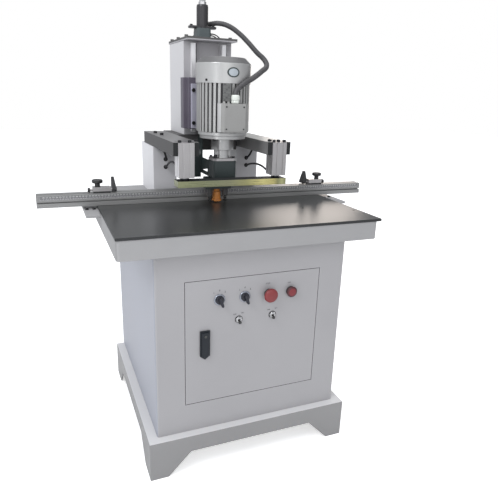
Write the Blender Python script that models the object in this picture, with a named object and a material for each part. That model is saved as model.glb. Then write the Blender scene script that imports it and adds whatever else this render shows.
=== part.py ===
import math

import bmesh
import bpy
from mathutils import Matrix, Vector

# Free-standing boring machine for lock and hinge holes. Metres, +Z up, front towards -Y.
# Shared values
GAP = 0.0003            # clearance between touching pieces
RUN = 0.0010            # running clearance of sliding and turning pieces
OVER = 0.0020           # how far a cutter or a joined shape reaches past a face

# Plinth
PLINTH_WIDTH = 0.688
PLINTH_FRONT = -0.028
PLINTH_BACK = 0.665
PLINTH_HEIGHT = 0.1334
PLINTH_WALL = 0.006
ARCH_HEIGHT = 0.076
ARCH_TOP_HALF = 0.2115
ARCH_FOOT_HALF = 0.2855
SIDE_ARCH_TOP_HALF = 0.197
SIDE_ARCH_FOOT_HALF = 0.262

# Cabinet and door
CABINET_WIDTH = 0.627
CABINET_DEPTH = 0.6826
CABINET_SHEET = 0.0025
CABINET_CORNER = 0.0080
CABINET_HEIGHT = 0.5993
DOOR_WIDTH = 0.445
DOOR_SILL = 0.0989
DOOR_HEIGHT = 0.4081
DOOR_SLOT = 0.0015      # visible slot round the door
DOOR_SHEET = 0.0020
DOOR_RETURN = 0.018     # depth of the folded edges
HINGE_INSET = 0.0030    # pivot axis behind the door's front face and beside its edge
HINGE_PIN_RADIUS = 0.0015
HINGE_PIN_DEPTH = 0.0100
HINGE_BLOCK_SIZE = 0.0120
KEEPER_WIDTH = 0.0120
KEEPER_HALF_HEIGHT = 0.0200

# Controls on the door
CONTROL_DROP = 0.0657
SELECTOR_LEFT_X = -0.116
SELECTOR_RIGHT_X = -0.034
ESTOP_X = 0.046
STOP_X = 0.122
TOGGLE_DROP = 0.1397
TOGGLE_LEFT_X = -0.052
TOGGLE_RIGHT_X = 0.062
SWITCH_HOLE_RADIUS = 0.0112
TOGGLE_HOLE_RADIUS = 0.0060
BEZEL_RADIUS = 0.0180
BUTTON_BEZEL_RADIUS = 0.0155
BEZEL_THICKNESS = 0.0040
TOGGLE_NUT_RADIUS = 0.0085
TOGGLE_NUT_THICKNESS = 0.0030
SWITCH_PLATE_THICKNESS = 0.0025
SWITCH_PLATE_MARGIN = 0.020
SWITCH_BODY_HALF = 0.0145
SWITCH_BODY_DEPTH = 0.036
SWITCH_STEM_RADIUS = 0.0050
SELECTOR_CAP_RADIUS = 0.0135
SELECTOR_CAP_THICKNESS = 0.0060
SELECTOR_LEVER_LENGTH = 0.0335
SELECTOR_REST_ANGLE = math.radians(-18)
SELECTOR_LEVER_WIDTH = 0.0085
SELECTOR_LEVER_HEIGHT = 0.0120
ESTOP_RADIUS = 0.0225
ESTOP_HEIGHT = 0.0130
ESTOP_NECK_RADIUS = 0.0110
ESTOP_NECK_LENGTH = 0.0120
ESTOP_TRAVEL = 0.0050
STOP_RADIUS = 0.0178
STOP_HEIGHT = 0.0070
STOP_NECK_LENGTH = 0.0060
STOP_TRAVEL = 0.0035
TOGGLE_BALL_RADIUS = 0.0042
TOGGLE_LEVER_RADIUS = 0.0024
TOGGLE_LEVER_TIP_RADIUS = 0.0036
TOGGLE_LEVER_LENGTH = 0.0200
TOGGLE_REST_ANGLE = math.radians(28)
LOCK_X = -0.1617
LOCK_DROP = 0.1612
LOCK_WIDTH = 0.0315
LOCK_SHOULDER = 0.0840
LOCK_HEIGHT = 0.0960
LOCK_THICKNESS = 0.0070
LOCK_BARREL_RADIUS = 0.0090
LOCK_BARREL_DEPTH = 0.0300
LOCK_LEVER_MARGIN = 0.0040
LOCK_LEVER_THICKNESS = 0.0045
LOCK_PIVOT_DROP = 0.0070
LOCK_CAM_LENGTH = 0.0720
LOCK_CAM_THICKNESS = 0.0040
LOCK_CAM_HALF = 0.0070
LOCK_STEM_RADIUS = 0.0050

# Table
FRAME_LEFT = -0.4164
FRAME_RIGHT = 0.4064
FRAME_FRONT = -0.034
FRAME_SIDE_BACK = 0.500
FRAME_CORNER = 0.012
FRAME_WALL = 0.005
FRAME_FLOOR = 0.003
DECK_HALF = 0.345
DECK_BACK = 0.720
TABLE_RISE = 0.0670
SLAB_THICKNESS = 0.0085
SLAB_HALF = 0.4171
SLAB_FRONT = -0.0363
SLAB_BACK = 0.4112
SLAB_HOLE_RADIUS = 0.0035
SLAB_HOLE_X = (0.396, 0.241)
SLAB_HOLE_Y = (0.093, 0.168)
FENCE_PLATE_LEFT_REACH = 0.046
FENCE_PLATE_RIGHT_REACH = 0.070
FENCE_PLATE_FRONT = 0.268
FENCE_PLATE_BACK = 0.470
FENCE_PLATE_THICKNESS = 0.008

# Fence
FENCE_HALF = 0.602
FENCE_FRONT = 0.3662
FENCE_DEPTH = 0.045
FENCE_HEIGHT = 0.040
FENCE_GROOVE_Z = 0.0165
FENCE_GROOVE_HALF = 0.0022
FENCE_GROOVE_DEPTH = 0.0100
FENCE_STEP_Z = 0.0235
FENCE_STEP_DEPTH = 0.0012
TOP_SLOT_Y = 0.0200
TOP_SLOT_HALF = 0.0040
TOP_SLOT_DEPTH = 0.0100
FENCE_CHANNEL_HALF = 0.0110
FENCE_CHANNEL_DEPTH = 0.0160

# Flip stops, the left one; the right one is its mirror
STOP_INSET = 0.1740         # from the fence's end to the block
STOP_BLOCK_LENGTH = 0.0560
STOP_BLOCK_HALF_DEPTH = 0.0130
STOP_BLOCK_HEIGHT = 0.0195
STOP_TONGUE_DEPTH = 0.0060
AXLE_OUTER_REACH = 0.0140   # past the block's ends
AXLE_INNER_REACH = 0.0204
AXLE_RADIUS = 0.0038
AXLE_Z = 0.0095         # axle height over the fence
AXLE_CAP_RADIUS = 0.0056
AXLE_CAP_LENGTH = 0.0060
FINGER_THICKNESS = 0.0080
FINGER_HEIGHT = 0.0400
FINGER_HEEL = 0.0055
FINGER_TAIL = 0.0300
FINGER_TIP_FRONT = 0.0080
FINGER_TIP_BACK = 0.0150
FINGER_SHOULDER = 0.0120
KNOB_INSET = 0.0160
KNOB_RADIUS = 0.0175
KNOB_THICKNESS = 0.0120
KNOB_STEM_RADIUS = 0.0085
KNOB_STEM_LENGTH = 0.0115
STOP_TRAVEL_IN = 0.240
STOP_TRAVEL_OUT = 0.140

# Portal: pedestals, arms, bridge
ARM_INNER = 0.1170
ARM_OUTER = 0.2004
ARM_FRONT = 0.2080
ARM_BACK = 0.6670
ARM_RISE = 0.1770
ARM_THICKNESS = 0.0420
ARM_EDGE = 0.0025
PEDESTAL_OUTER = 0.2025
PEDESTAL_FRONT = 0.4950
PEDESTAL_BACK = 0.7090
PEDESTAL_WALL = 0.006
TUBE_HOLE_RADIUS = 0.0055
TUBE_HOLE_LOW_DROP = 0.0730
TUBE_HOLE_HIGH_DROP = 0.0450
TUBE_HOLE_X = 0.158
BRIDGE_DROP = 0.0140
BRIDGE_FRONT = 0.4970
BRIDGE_BACK = 0.7000

# Press
CYLINDER_X = 0.1590
CYLINDER_HALF = 0.0252
CYLINDER_FRONT = 0.2028
CYLINDER_DROP = 0.0680
CYLINDER_HEIGHT = 0.1088
CYLINDER_BORE = 0.0200
CYLINDER_END = 0.0080   # thickness of the cylinder's end walls
CYLINDER_GROOVE_HALF = 0.0022
CYLINDER_GROOVE_DEPTH = 0.0022
CYLINDER_GROOVE_OFFSET = 0.0110
PRESS_ROD_RADIUS = 0.0080
PRESS_PISTON_THICKNESS = 0.0120
PRESS_TRAVEL = 0.0600
BAR_HALF = 0.1870
BAR_DEPTH = 0.0505
BAR_DROP = 0.0303
BAR_THICKNESS = 0.0205

# Column
COLUMN_HALF = 0.0880
COLUMN_FRONT = 0.4950
COLUMN_BACK = 0.6950
COLUMN_HEIGHT = 0.3180
COLUMN_WALL = 0.0080
RECESS_HALF = 0.0450
RECESS_DEPTH = 0.0120
LUG_SLOT_HALF = 0.0180
LUG_SLOT_BELOW = 0.0200
LUG_SLOT_ABOVE = 0.0200
RAIL_X = 0.0560
RAIL_HALF = 0.0075
RAIL_DEPTH = 0.0145
RAIL_FOOT = 0.0110
RAIL_HEAD = 0.0070
TOP_PLATE_HALF = 0.0900
TOP_PLATE_FRONT = 0.4400
TOP_PLATE_BACK = 0.7000
TOP_PLATE_THICKNESS = 0.0100
BOLT_RADIUS = 0.0065
BOLT_HEIGHT = 0.0080

# Head
HEAD_TRAVEL = 0.0600
CARRIAGE_HALF = 0.1040
CARRIAGE_FRONT = 0.4425
CARRIAGE_BACK = 0.4780
CARRIAGE_RISE = 0.0260
CARRIAGE_HEIGHT = 0.1700
MOUNT_HALF = 0.0916
MOUNT_FRONT = 0.4180
RUNNER_HALF = 0.0150
RUNNER_LENGTH = 0.0600
LUG_HALF = 0.0120
LUG_RISE = 0.0950
LUG_HEIGHT = 0.0300
LUG_REACH = 0.0200      # how far the lug reaches past the rod's axis

# Motor
MOTOR_Y = 0.3261
MOTOR_FIN_RADIUS = 0.0875
MOTOR_CORE_RADIUS = 0.0760
MOTOR_BORE = 0.0460
MOTOR_FINS = 36
FIN_SHARE = 0.42        # share of each pitch that is fin
MOTOR_LENGTH = 0.1540
FEET_HALF = 0.0850
FEET_FRONT = 0.4050
FEET_FOOT = 0.0030
FEET_HEAD = 0.0040
COWL_RADIUS = 0.0905
COWL_WALL = 0.0020
COWL_LAP = 0.0017
COWL_HEIGHT = 0.0797
COWL_CHAMFER = 0.0190
COWL_TOP_RADIUS = 0.0700
COWL_VENT_RADIUS = 0.0060
COWL_VENT_RING = 0.0400
COWL_VENTS = 8
TERMINAL_HALF = 0.0450
TERMINAL_FRONT = 0.2080
TERMINAL_FOOT = 0.0037
TERMINAL_HEIGHT = 0.0883
TERMINAL_CHAMFER = 0.0090
GLAND_X = 0.0060
GLAND_Y = 0.2245
GLAND_HEX_RADIUS = 0.0135
GLAND_HEX_HEIGHT = 0.0100
GLAND_CAP_RADIUS = 0.0122
GLAND_CAP_HEIGHT = 0.0160
GLAND_BORE = 0.0060
FLANGE_RADIUS = 0.0770
FLANGE_HEIGHT = 0.0230
NECK_RADIUS = 0.0380
NECK_HEIGHT = 0.0380
NECK_LOW_RADIUS = 0.0285
SHAFT_RADIUS = 0.0120
SHAFT_REACH = 0.0410
ROTOR_RADIUS = 0.0440
ROTOR_FOOT = 0.0250
ROTOR_HEAD = 0.0290
FAN_RISE = 0.0130
FAN_HEIGHT = 0.0200
FAN_RADIUS = 0.0740
FAN_HUB_RADIUS = 0.0200
FAN_BLADES = 7
FAN_BLADE_HALF = 0.0015

# Gearbox and spindles
GEARBOX_HALF = 0.0410
GEARBOX_FRONT = 0.2920
GEARBOX_BACK = 0.3600
GEARBOX_DROP = 0.1567
GEARBOX_HEIGHT = 0.0592
GEARBOX_WALL = 0.0050
GEARBOX_CORNER = 0.0100
COVER_THICKNESS = 0.0090
COVER_BOLT_RADIUS = 0.0045
COVER_BOLT_HEIGHT = 0.0060
SPINDLE_X = -0.0135
SPINDLE_Y = 0.3405
SIDE_SPINDLE_STEP = 0.0280
SIDE_SPINDLE_FORWARD = 0.0095
SPINDLE_RADIUS = 0.0060
HOUSING_DROP = 0.0383
HOUSING_MARGIN = 0.0190
HOUSING_WALL = 0.0030
DRIVE_GEAR_RISE = 0.0267
DRIVE_GEAR_HEIGHT = 0.0180
SPUR_GEAR_RISE = 0.0100
SPUR_GEAR_HEIGHT = 0.0180
TOOTH_REACH = 0.0008
DRIVE_TEETH = 12
SPUR_TEETH = 16
TOOTH_SHARE = 0.38
CHUCK_LENGTH = 0.0120
CHUCK_RADIUS = 0.0115
SIDE_CHUCK_RADIUS = 0.0095
SIDE_CHUCK_LENGTH = 0.0260
BIT_REACH = 0.0460
BIT_SEAT = 0.0005
BIT_BODY_RADIUS = 0.0135
BIT_HEAD_RADIUS = 0.0172
BIT_HEAD_HEIGHT = 0.0070
BIT_POINT_RADIUS = 0.0020
BIT_POINT_LENGTH = 0.0030
DOWEL_BIT_RADIUS = 0.0060
DOWEL_BIT_FLUTE = 0.0022
DOWEL_BIT_TURNS = 1.1
WEB_OUTER = 0.0408
WEB_THICKNESS = 0.0070
WEB_BACK = 0.4775
WEB_SPINE_FRONT = 0.4400
WEB_HEAD_DROP = 0.0035
WEB_FOOT = 0.0003
WINDOW_RISE = 0.0118
WINDOW_HEIGHT = 0.0137
WINDOW_BACK = 0.4354
WEB_HEAD_THICKNESS = 0.0120
WEB_HEAD_FRONT = 0.4320

# Feed cylinder
FEED_Y = 0.5620
FEED_BLOCK_HALF = 0.0260
FEED_BLOCK_CHAMFER = 0.0070
FEED_BLOCK_HEIGHT = 0.0385
FEED_ROD_RADIUS = 0.0100
FEED_ROD_TOP_RADIUS = 0.0060
WING_HALF = 0.0500
WING_HALF_DEPTH = 0.0190
WING_THICKNESS = 0.0075
SLEEVE_RADIUS = 0.0210
SLEEVE_EDGE = 0.0012
SLEEVE_BORE = 0.0165
SLEEVE_LENGTH = 0.0701
SLEEVE_CAP = 0.0040
FEED_PISTON_THICKNESS = 0.0050
NUT_RADIUS = 0.0140
NUT_HEIGHT = 0.0100
NUT_UPPER_RADIUS = 0.0120
FEED_ROD_REACH = 0.0410

# Hoses and tubes
HOSE_RADIUS = 0.0088
HOSE_RIB = 0.0011
HOSE_BORE = 0.0062
HOSE_RIB_PITCH = 0.0052
HOSE_FITTING_RADIUS = 0.0130
HOSE_FITTING_HEIGHT = 0.0160
HOSE_BORE_PITCH = 0.0150
AIR_TUBE_RADIUS = 0.0030
AIR_TUBE_STEP = 0.0080
AIR_TUBE_SAG_SHARE = 0.03

# Panel in the cabinet
PANEL_HALF = 0.2100
PANEL_RISE = 0.0074
PANEL_HEIGHT = 0.3800
PANEL_THICKNESS = 0.0030
PANEL_STANDOFF = 0.0200
STANDOFF_RADIUS = 0.0080
CONTACTOR_SIZE = (0.045, 0.075, 0.080)
CONTACTOR_COUNT = 4
CONTACTOR_PITCH = 0.080
CONTACTOR_DROP = 0.1200
VALVE_SIZE = (0.032, 0.060, 0.090)
VALVE_COUNT = 3
VALVE_PITCH = 0.060
VALVE_RISE = 0.0900

# Worked out from the sizes above
CABINET_BOTTOM = PLINTH_HEIGHT + GAP
CABINET_TOP = CABINET_BOTTOM + CABINET_HEIGHT
TABLE_TOP = CABINET_TOP + TABLE_RISE
DOOR_BOTTOM = CABINET_BOTTOM + DOOR_SILL
DOOR_TOP = DOOR_BOTTOM + DOOR_HEIGHT
CONTROL_Z = DOOR_TOP - CONTROL_DROP
TOGGLE_Z = DOOR_TOP - TOGGLE_DROP
LOCK_TOP = DOOR_TOP - LOCK_DROP
PANEL_BOTTOM = DOOR_BOTTOM + PANEL_RISE
PANEL_TOP = PANEL_BOTTOM + PANEL_HEIGHT
CONTACTOR_Z = PANEL_TOP - CONTACTOR_DROP
VALVE_Z = PANEL_BOTTOM + VALVE_RISE
ARM_BOTTOM = TABLE_TOP + ARM_RISE
ARM_TOP = ARM_BOTTOM + ARM_THICKNESS
TUBE_HOLE_LOW_Z = ARM_BOTTOM - TUBE_HOLE_LOW_DROP
TUBE_HOLE_HIGH_Z = ARM_BOTTOM - TUBE_HOLE_HIGH_DROP
BRIDGE_BOTTOM = ARM_BOTTOM - BRIDGE_DROP
CYLINDER_BOTTOM = ARM_BOTTOM - CYLINDER_DROP
CYLINDER_TOP = CYLINDER_BOTTOM + CYLINDER_HEIGHT
BAR_BOTTOM = CYLINDER_BOTTOM - BAR_DROP
COLUMN_TOP = ARM_TOP + COLUMN_HEIGHT
RAIL_BOTTOM = ARM_TOP + RAIL_FOOT
RAIL_TOP = COLUMN_TOP - RAIL_HEAD
CARRIAGE_BOTTOM = ARM_TOP + CARRIAGE_RISE
CARRIAGE_TOP = CARRIAGE_BOTTOM + CARRIAGE_HEIGHT
LUG_BOTTOM = CARRIAGE_BOTTOM + LUG_RISE
LUG_SLOT_BOTTOM = LUG_BOTTOM - LUG_SLOT_BELOW
LUG_SLOT_TOP = LUG_BOTTOM + LUG_HEIGHT + HEAD_TRAVEL + LUG_SLOT_ABOVE
MOTOR_BOTTOM = CARRIAGE_BOTTOM
MOTOR_TOP = MOTOR_BOTTOM + MOTOR_LENGTH
FEET_BOTTOM = MOTOR_BOTTOM + FEET_FOOT
FEET_TOP = MOTOR_TOP - FEET_HEAD
TERMINAL_BOTTOM = MOTOR_BOTTOM + TERMINAL_FOOT
TERMINAL_TOP = TERMINAL_BOTTOM + TERMINAL_HEIGHT
FLANGE_BOTTOM = MOTOR_BOTTOM - FLANGE_HEIGHT
NECK_STEP_Z = FLANGE_BOTTOM - NECK_HEIGHT
SHAFT_TOP = MOTOR_TOP + SHAFT_REACH
ROTOR_BOTTOM = MOTOR_BOTTOM + ROTOR_FOOT
ROTOR_TOP = MOTOR_TOP - ROTOR_HEAD
FAN_BOTTOM = MOTOR_TOP + FAN_RISE
GEARBOX_BOTTOM = MOTOR_BOTTOM - GEARBOX_DROP
GEARBOX_TOP = GEARBOX_BOTTOM + GEARBOX_HEIGHT
HOUSING_BOTTOM = GEARBOX_BOTTOM - HOUSING_DROP
DRIVE_GEAR_Z = GEARBOX_BOTTOM + DRIVE_GEAR_RISE
SPUR_GEAR_Z = HOUSING_BOTTOM + SPUR_GEAR_RISE
CHUCK_BOTTOM = HOUSING_BOTTOM - CHUCK_LENGTH
SIDE_CHUCK_BOTTOM = HOUSING_BOTTOM - SIDE_CHUCK_LENGTH
BIT_TIP_Z = HOUSING_BOTTOM - BIT_REACH
BIT_BODY_TOP = CHUCK_BOTTOM - BIT_SEAT
WEB_TOP_Z = GEARBOX_TOP - WEB_HEAD_DROP
WEB_BOTTOM_Z = GEARBOX_BOTTOM + WEB_FOOT
WINDOW_BOTTOM_Z = WEB_BOTTOM_Z + WINDOW_RISE
WINDOW_TOP_Z = WINDOW_BOTTOM_Z + WINDOW_HEIGHT
FRAME_BOTTOM = CABINET_TOP + GAP
SLAB_BOTTOM = TABLE_TOP - SLAB_THICKNESS
FRAME_TOP = SLAB_BOTTOM - GAP
FENCE_BOTTOM = TABLE_TOP + GAP
FENCE_TOP = FENCE_BOTTOM + FENCE_HEIGHT
FENCE_BACK = FENCE_FRONT + FENCE_DEPTH
PEDESTAL_TOP = ARM_BOTTOM - GAP
COLUMN_BOTTOM = ARM_TOP + GAP
TOP_PLATE_BOTTOM = COLUMN_TOP + GAP
TOP_PLATE_TOP = TOP_PLATE_BOTTOM + TOP_PLATE_THICKNESS
CYLINDER_Y = CYLINDER_FRONT + CYLINDER_HALF
CYLINDER_BACK = CYLINDER_FRONT + 2 * CYLINDER_HALF
BAR_TOP = BAR_BOTTOM + BAR_THICKNESS
BAR_BACK = CYLINDER_FRONT + BAR_DEPTH
PRESS_PISTON_TOP = CYLINDER_TOP - CYLINDER_END - RUN
HINGE_X = DOOR_WIDTH / 2 - HINGE_INSET
HINGE_Y = HINGE_INSET
COVER_TOP = GEARBOX_TOP + GAP + COVER_THICKNESS
FEED_BLOCK_BOTTOM = TOP_PLATE_TOP + GAP
FEED_BLOCK_TOP = FEED_BLOCK_BOTTOM + FEED_BLOCK_HEIGHT
WING_BOTTOM = FEED_BLOCK_TOP + GAP
WING_TOP = WING_BOTTOM + WING_THICKNESS
SLEEVE_TOP = WING_TOP + SLEEVE_LENGTH
FEED_ROD_TOP = SLEEVE_TOP + FEED_ROD_REACH
GLAND_TOP = TERMINAL_TOP + GAP + GLAND_HEX_HEIGHT + GLAND_CAP_HEIGHT
HOSE_FITTING_Y = (FEED_Y + FEED_BLOCK_HALF + TOP_PLATE_BACK) / 2
HOSE_FITTING_TOP = TOP_PLATE_TOP + HOSE_FITTING_HEIGHT
STOP_AXLE_Y = FENCE_FRONT + TOP_SLOT_Y
STOP_BLOCK_OUTER = FENCE_HALF - STOP_INSET
STOP_BLOCK_INNER = STOP_BLOCK_OUTER - STOP_BLOCK_LENGTH
AXLE_OUTER = STOP_BLOCK_OUTER + AXLE_OUTER_REACH
AXLE_INNER = STOP_BLOCK_INNER - AXLE_INNER_REACH
KNOB_X = STOP_BLOCK_OUTER - KNOB_INSET
COWL_BOTTOM = MOTOR_TOP - COWL_LAP
COWL_TOP = COWL_BOTTOM + COWL_HEIGHT
COWL_SHOULDER = COWL_TOP - COWL_CHAMFER
ORIGIN_Y = (SLAB_FRONT + DECK_BACK) / 2
HOUSING_TOP = GEARBOX_BOTTOM - GAP
SIDE_SPINDLE_Y = SPINDLE_Y - SIDE_SPINDLE_FORWARD
SPUR_PITCH_RADIUS = math.hypot(SIDE_SPINDLE_STEP, SIDE_SPINDLE_FORWARD) / 2
DRIVE_PITCH_RADIUS = math.hypot(SPINDLE_X, SPINDLE_Y - MOTOR_Y) / 2

for leftover in list(bpy.data.objects):
    bpy.data.objects.remove(leftover, do_unlink=True)


# Materials
def make_material(name, colour, roughness, metallic):
    material = bpy.data.materials.new(name)
    material.use_nodes = True
    shader = material.node_tree.nodes["Principled BSDF"]
    shader.inputs["Base Color"].default_value = (*colour, 1)
    shader.inputs["Roughness"].default_value = roughness
    shader.inputs["Metallic"].default_value = metallic
    material.diffuse_color = (*colour, 1)
    return material


PAINT = make_material("cabinet_paint", (0.44, 0.43, 0.46), 0.45, 0.0)
DARK_TABLE = make_material("table_laminate", (0.09, 0.09, 0.09), 0.35, 0.0)
ALUMINIUM = make_material("aluminium", (0.55, 0.55, 0.54), 0.35, 1.0)
CAST_GREY = make_material("motor_paint", (0.36, 0.36, 0.35), 0.4, 0.6)
DARK_STEEL = make_material("dark_steel", (0.12, 0.12, 0.12), 0.45, 0.8)
BLACK = make_material("black_plastic", (0.02, 0.02, 0.02), 0.45, 0.0)
STEEL = make_material("bright_steel", (0.65, 0.65, 0.65), 0.25, 1.0)
ZINC = make_material("yellow_zinc", (0.40, 0.36, 0.14), 0.35, 0.9)
GEARBOX_PAINT = make_material("gearbox_paint", (0.03, 0.045, 0.045), 0.4, 0.2)
RED = make_material("red_plastic", (0.42, 0.03, 0.03), 0.35, 0.0)
ORANGE = make_material("orange_paint", (0.62, 0.22, 0.05), 0.4, 0.0)
RUBBER = make_material("hose_rubber", (0.06, 0.06, 0.06), 0.6, 0.0)
WHITE = make_material("white_plastic", (0.75, 0.74, 0.70), 0.4, 0.0)


# Bodies: one empty on each joint's axis, all under the machine's origin
def make_body(name, place, parent=None):
    empty = bpy.data.objects.new(name, None)
    bpy.context.collection.objects.link(empty)
    empty.location = Vector(place) - (Vector(PLACES[parent.name]) if parent else Vector())
    empty.parent = parent
    PLACES[name] = place
    return empty


PLACES = {}
MACHINE = make_body("machine", (0.0, 0.0, 0.0))
MACHINE.location = (0.0, -ORIGIN_Y, 0.0)
HEAD = make_body("head_slide", (0.0, (CARRIAGE_BACK + COLUMN_FRONT) / 2, CARRIAGE_BOTTOM), MACHINE)
ROTOR = make_body("rotor_axis", (0.0, MOTOR_Y, MOTOR_BOTTOM), HEAD)
SPINDLE_PLACES = {
    "centre": (SPINDLE_X, SPINDLE_Y, HOUSING_BOTTOM),
    "left": (SPINDLE_X - SIDE_SPINDLE_STEP, SIDE_SPINDLE_Y, HOUSING_BOTTOM),
    "right": (SPINDLE_X + SIDE_SPINDLE_STEP, SIDE_SPINDLE_Y, HOUSING_BOTTOM),
}
SPINDLES = {side: make_body("spindle_" + side + "_axis", place, HEAD)
            for side, place in SPINDLE_PLACES.items()}
PRESS = make_body("press_slide", (0.0, CYLINDER_Y, BAR_TOP), MACHINE)
DOOR = make_body("door_axis", (HINGE_X, HINGE_Y, DOOR_BOTTOM), MACHINE)


# Shapes
def shape_object(name, mesh_builder, body=MACHINE, material=None, at=None, helper=False):
    """Make one object whose origin lies at its place, under its body."""
    work = bmesh.new()
    mesh_builder(work)
    bmesh.ops.recalc_face_normals(work, faces=work.faces)
    place = Vector(at if at else PLACES[body.name])
    bmesh.ops.translate(work, verts=work.verts, vec=-place)
    mesh = bpy.data.meshes.new(name)
    work.to_mesh(mesh)
    work.free()
    made = bpy.data.objects.new(name, mesh)
    bpy.context.collection.objects.link(made)
    made.parent = body
    made.location = place - Vector(PLACES[body.name])
    if material:
        mesh.materials.append(material)
    if helper:
        made.hide_render = True
        made.display_type = "WIRE"
    return made


def boolean(target, operation, helper):
    step = target.modifiers.new(operation.lower(), "BOOLEAN")
    step.operation = operation
    step.solver = "EXACT"
    step.object = helper


HELPERS = {"count": 0}


def combine(target, operation, mesh_builder, body=MACHINE):
    HELPERS["count"] += 1
    name = "helper_{:03d}".format(HELPERS["count"])
    boolean(target, operation, shape_object(name, mesh_builder, body, helper=True))


def cut(target, mesh_builder, body=MACHINE):
    combine(target, "DIFFERENCE", mesh_builder, body)


def add(target, mesh_builder, body=MACHINE):
    combine(target, "UNION", mesh_builder, body)


def block(low, high):
    """A box between two corners."""
    def build(work):
        size = [high[i] - low[i] for i in range(3)]
        middle = [(high[i] + low[i]) / 2 for i in range(3)]
        place = Matrix.Translation(middle) @ Matrix.Diagonal((*size, 1))
        bmesh.ops.create_cube(work, size=1, matrix=place)
    return build


def prism(outline, axis, low, high):
    """A straight extrusion of a closed outline; its two coordinates are the other two axes in order."""
    def build(work):
        others = [i for i in range(3) if i != axis]
        points = []
        for first, second in outline:
            point = [0.0, 0.0, 0.0]
            point[axis] = low
            point[others[0]] = first
            point[others[1]] = second
            points.append(work.verts.new(point))
        face = work.faces.new(points)
        reach = bmesh.ops.extrude_face_region(work, geom=[face])
        moved = [item for item in reach["geom"] if isinstance(item, bmesh.types.BMVert)]
        vector = [0.0, 0.0, 0.0]
        vector[axis] = high - low
        bmesh.ops.translate(work, verts=moved, vec=vector)
    return build


def turned(profile, centre, segments, axis=2, phase=0.0):
    """A closed (radius, height) outline turned about an axis through centre."""
    def build(work):
        rings = []
        for radius, height in profile:
            ring = []
            if radius < OVER / 1000:
                ring.append(work.verts.new(axis_point(0.0, 0.0, height, centre, axis)))
            else:
                for step in range(segments):
                    angle = 2 * math.pi * step / segments + phase
                    ring.append(work.verts.new(axis_point(
                        radius * math.cos(angle), radius * math.sin(angle), height, centre, axis)))
            rings.append(ring)
        for index, ring in enumerate(rings):
            follower = rings[(index + 1) % len(rings)]
            if len(ring) == 1 and len(follower) == 1:
                continue
            for step in range(segments):
                after = (step + 1) % segments
                corners = []
                for corner in ((ring, step), (ring, after), (follower, after), (follower, step)):
                    vert = corner[0][corner[1] % len(corner[0])]
                    if vert not in corners:
                        corners.append(vert)
                work.faces.new(corners)
    return build


def axis_point(across, up, along, centre, axis):
    """Place a turned profile's point for an axis along X, Y or Z."""
    if axis == 2:
        return (centre[0] + across, centre[1] + up, along)
    if axis == 1:
        return (centre[0] + across, along, centre[2] + up)
    return (along, centre[1] + across, centre[2] + up)


def rod(centre, radius, low, high, segments=16, axis=2, phase=0.0):
    return turned(((0, low), (radius, low), (radius, high), (0, high)), centre, segments, axis, phase)


def ring(centre, outer, inner, low, high, segments=24, axis=2):
    return turned(((inner, low), (outer, low), (outer, high), (inner, high)), centre, segments, axis)


def rounded(left, right, front, back, radius, steps=4):
    """A rectangle with round corners, as a list of points."""
    points = []
    corners = ((right - radius, back - radius, 0), (left + radius, back - radius, 1),
               (left + radius, front + radius, 2), (right - radius, front + radius, 3))
    for x, y, quarter in corners:
        for step in range(steps + 1):
            angle = math.pi / 2 * (quarter + step / steps)
            points.append((x + radius * math.cos(angle), y + radius * math.sin(angle)))
    return points


def clipped(left, right, front, back, clip):
    """A rectangle with clipped corners."""
    return [(left + clip, front), (right - clip, front), (right, front + clip), (right, back - clip),
            (right - clip, back), (left + clip, back), (left, back - clip), (left, front + clip)]


def gear_outline(radius, teeth, bore_centre, phase):
    points = []
    pitch = 2 * math.pi / teeth
    for tooth in range(teeth):
        middle = phase + tooth * pitch
        for share, reach in ((-TOOTH_SHARE / 2, -1), (-TOOTH_SHARE / 4, 1),
                             (TOOTH_SHARE / 4, 1), (TOOTH_SHARE / 2, -1)):
            angle = middle + share * pitch
            length = radius + reach * TOOTH_REACH - GAP
            points.append((bore_centre[0] + length * math.cos(angle),
                           bore_centre[1] + length * math.sin(angle)))
    return points


def smooth(made, degrees=35):
    made.data.shade_smooth()
    made.data.set_sharp_from_angle(angle=math.radians(degrees))


def mirrored(side, low_x, high_x):
    """A pair of X values on the left (-1) or right (1) side, in rising order."""
    return (low_x, high_x) if side > 0 else (-high_x, -low_x)


SIDES = (("left", -1), ("right", 1))


# Plinth: open below, arched on all four sides
def make_plinth():
    half = PLINTH_WIDTH / 2
    middle = (PLINTH_FRONT + PLINTH_BACK) / 2
    plinth = shape_object("base_plinth", block(
        (-half, PLINTH_FRONT, 0), (half, PLINTH_BACK, PLINTH_HEIGHT)), material=PAINT)
    cut(plinth, block((-half + PLINTH_WALL, PLINTH_FRONT + PLINTH_WALL, -OVER),
                      (half - PLINTH_WALL, PLINTH_BACK - PLINTH_WALL, PLINTH_HEIGHT - PLINTH_WALL)))
    slope = (ARCH_FOOT_HALF - ARCH_TOP_HALF) / ARCH_HEIGHT
    foot = ARCH_FOOT_HALF + slope * OVER
    cut(plinth, prism(((-foot, -OVER), (foot, -OVER), (ARCH_TOP_HALF, ARCH_HEIGHT), (-ARCH_TOP_HALF, ARCH_HEIGHT)),
                      1, PLINTH_FRONT - OVER, PLINTH_BACK + OVER))
    side_slope = (SIDE_ARCH_FOOT_HALF - SIDE_ARCH_TOP_HALF) / ARCH_HEIGHT
    side_foot = SIDE_ARCH_FOOT_HALF + side_slope * OVER
    cut(plinth, prism(((middle - side_foot, -OVER), (middle + side_foot, -OVER),
                       (middle + SIDE_ARCH_TOP_HALF, ARCH_HEIGHT), (middle - SIDE_ARCH_TOP_HALF, ARCH_HEIGHT)),
                      0, -half - OVER, half + OVER))


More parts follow.
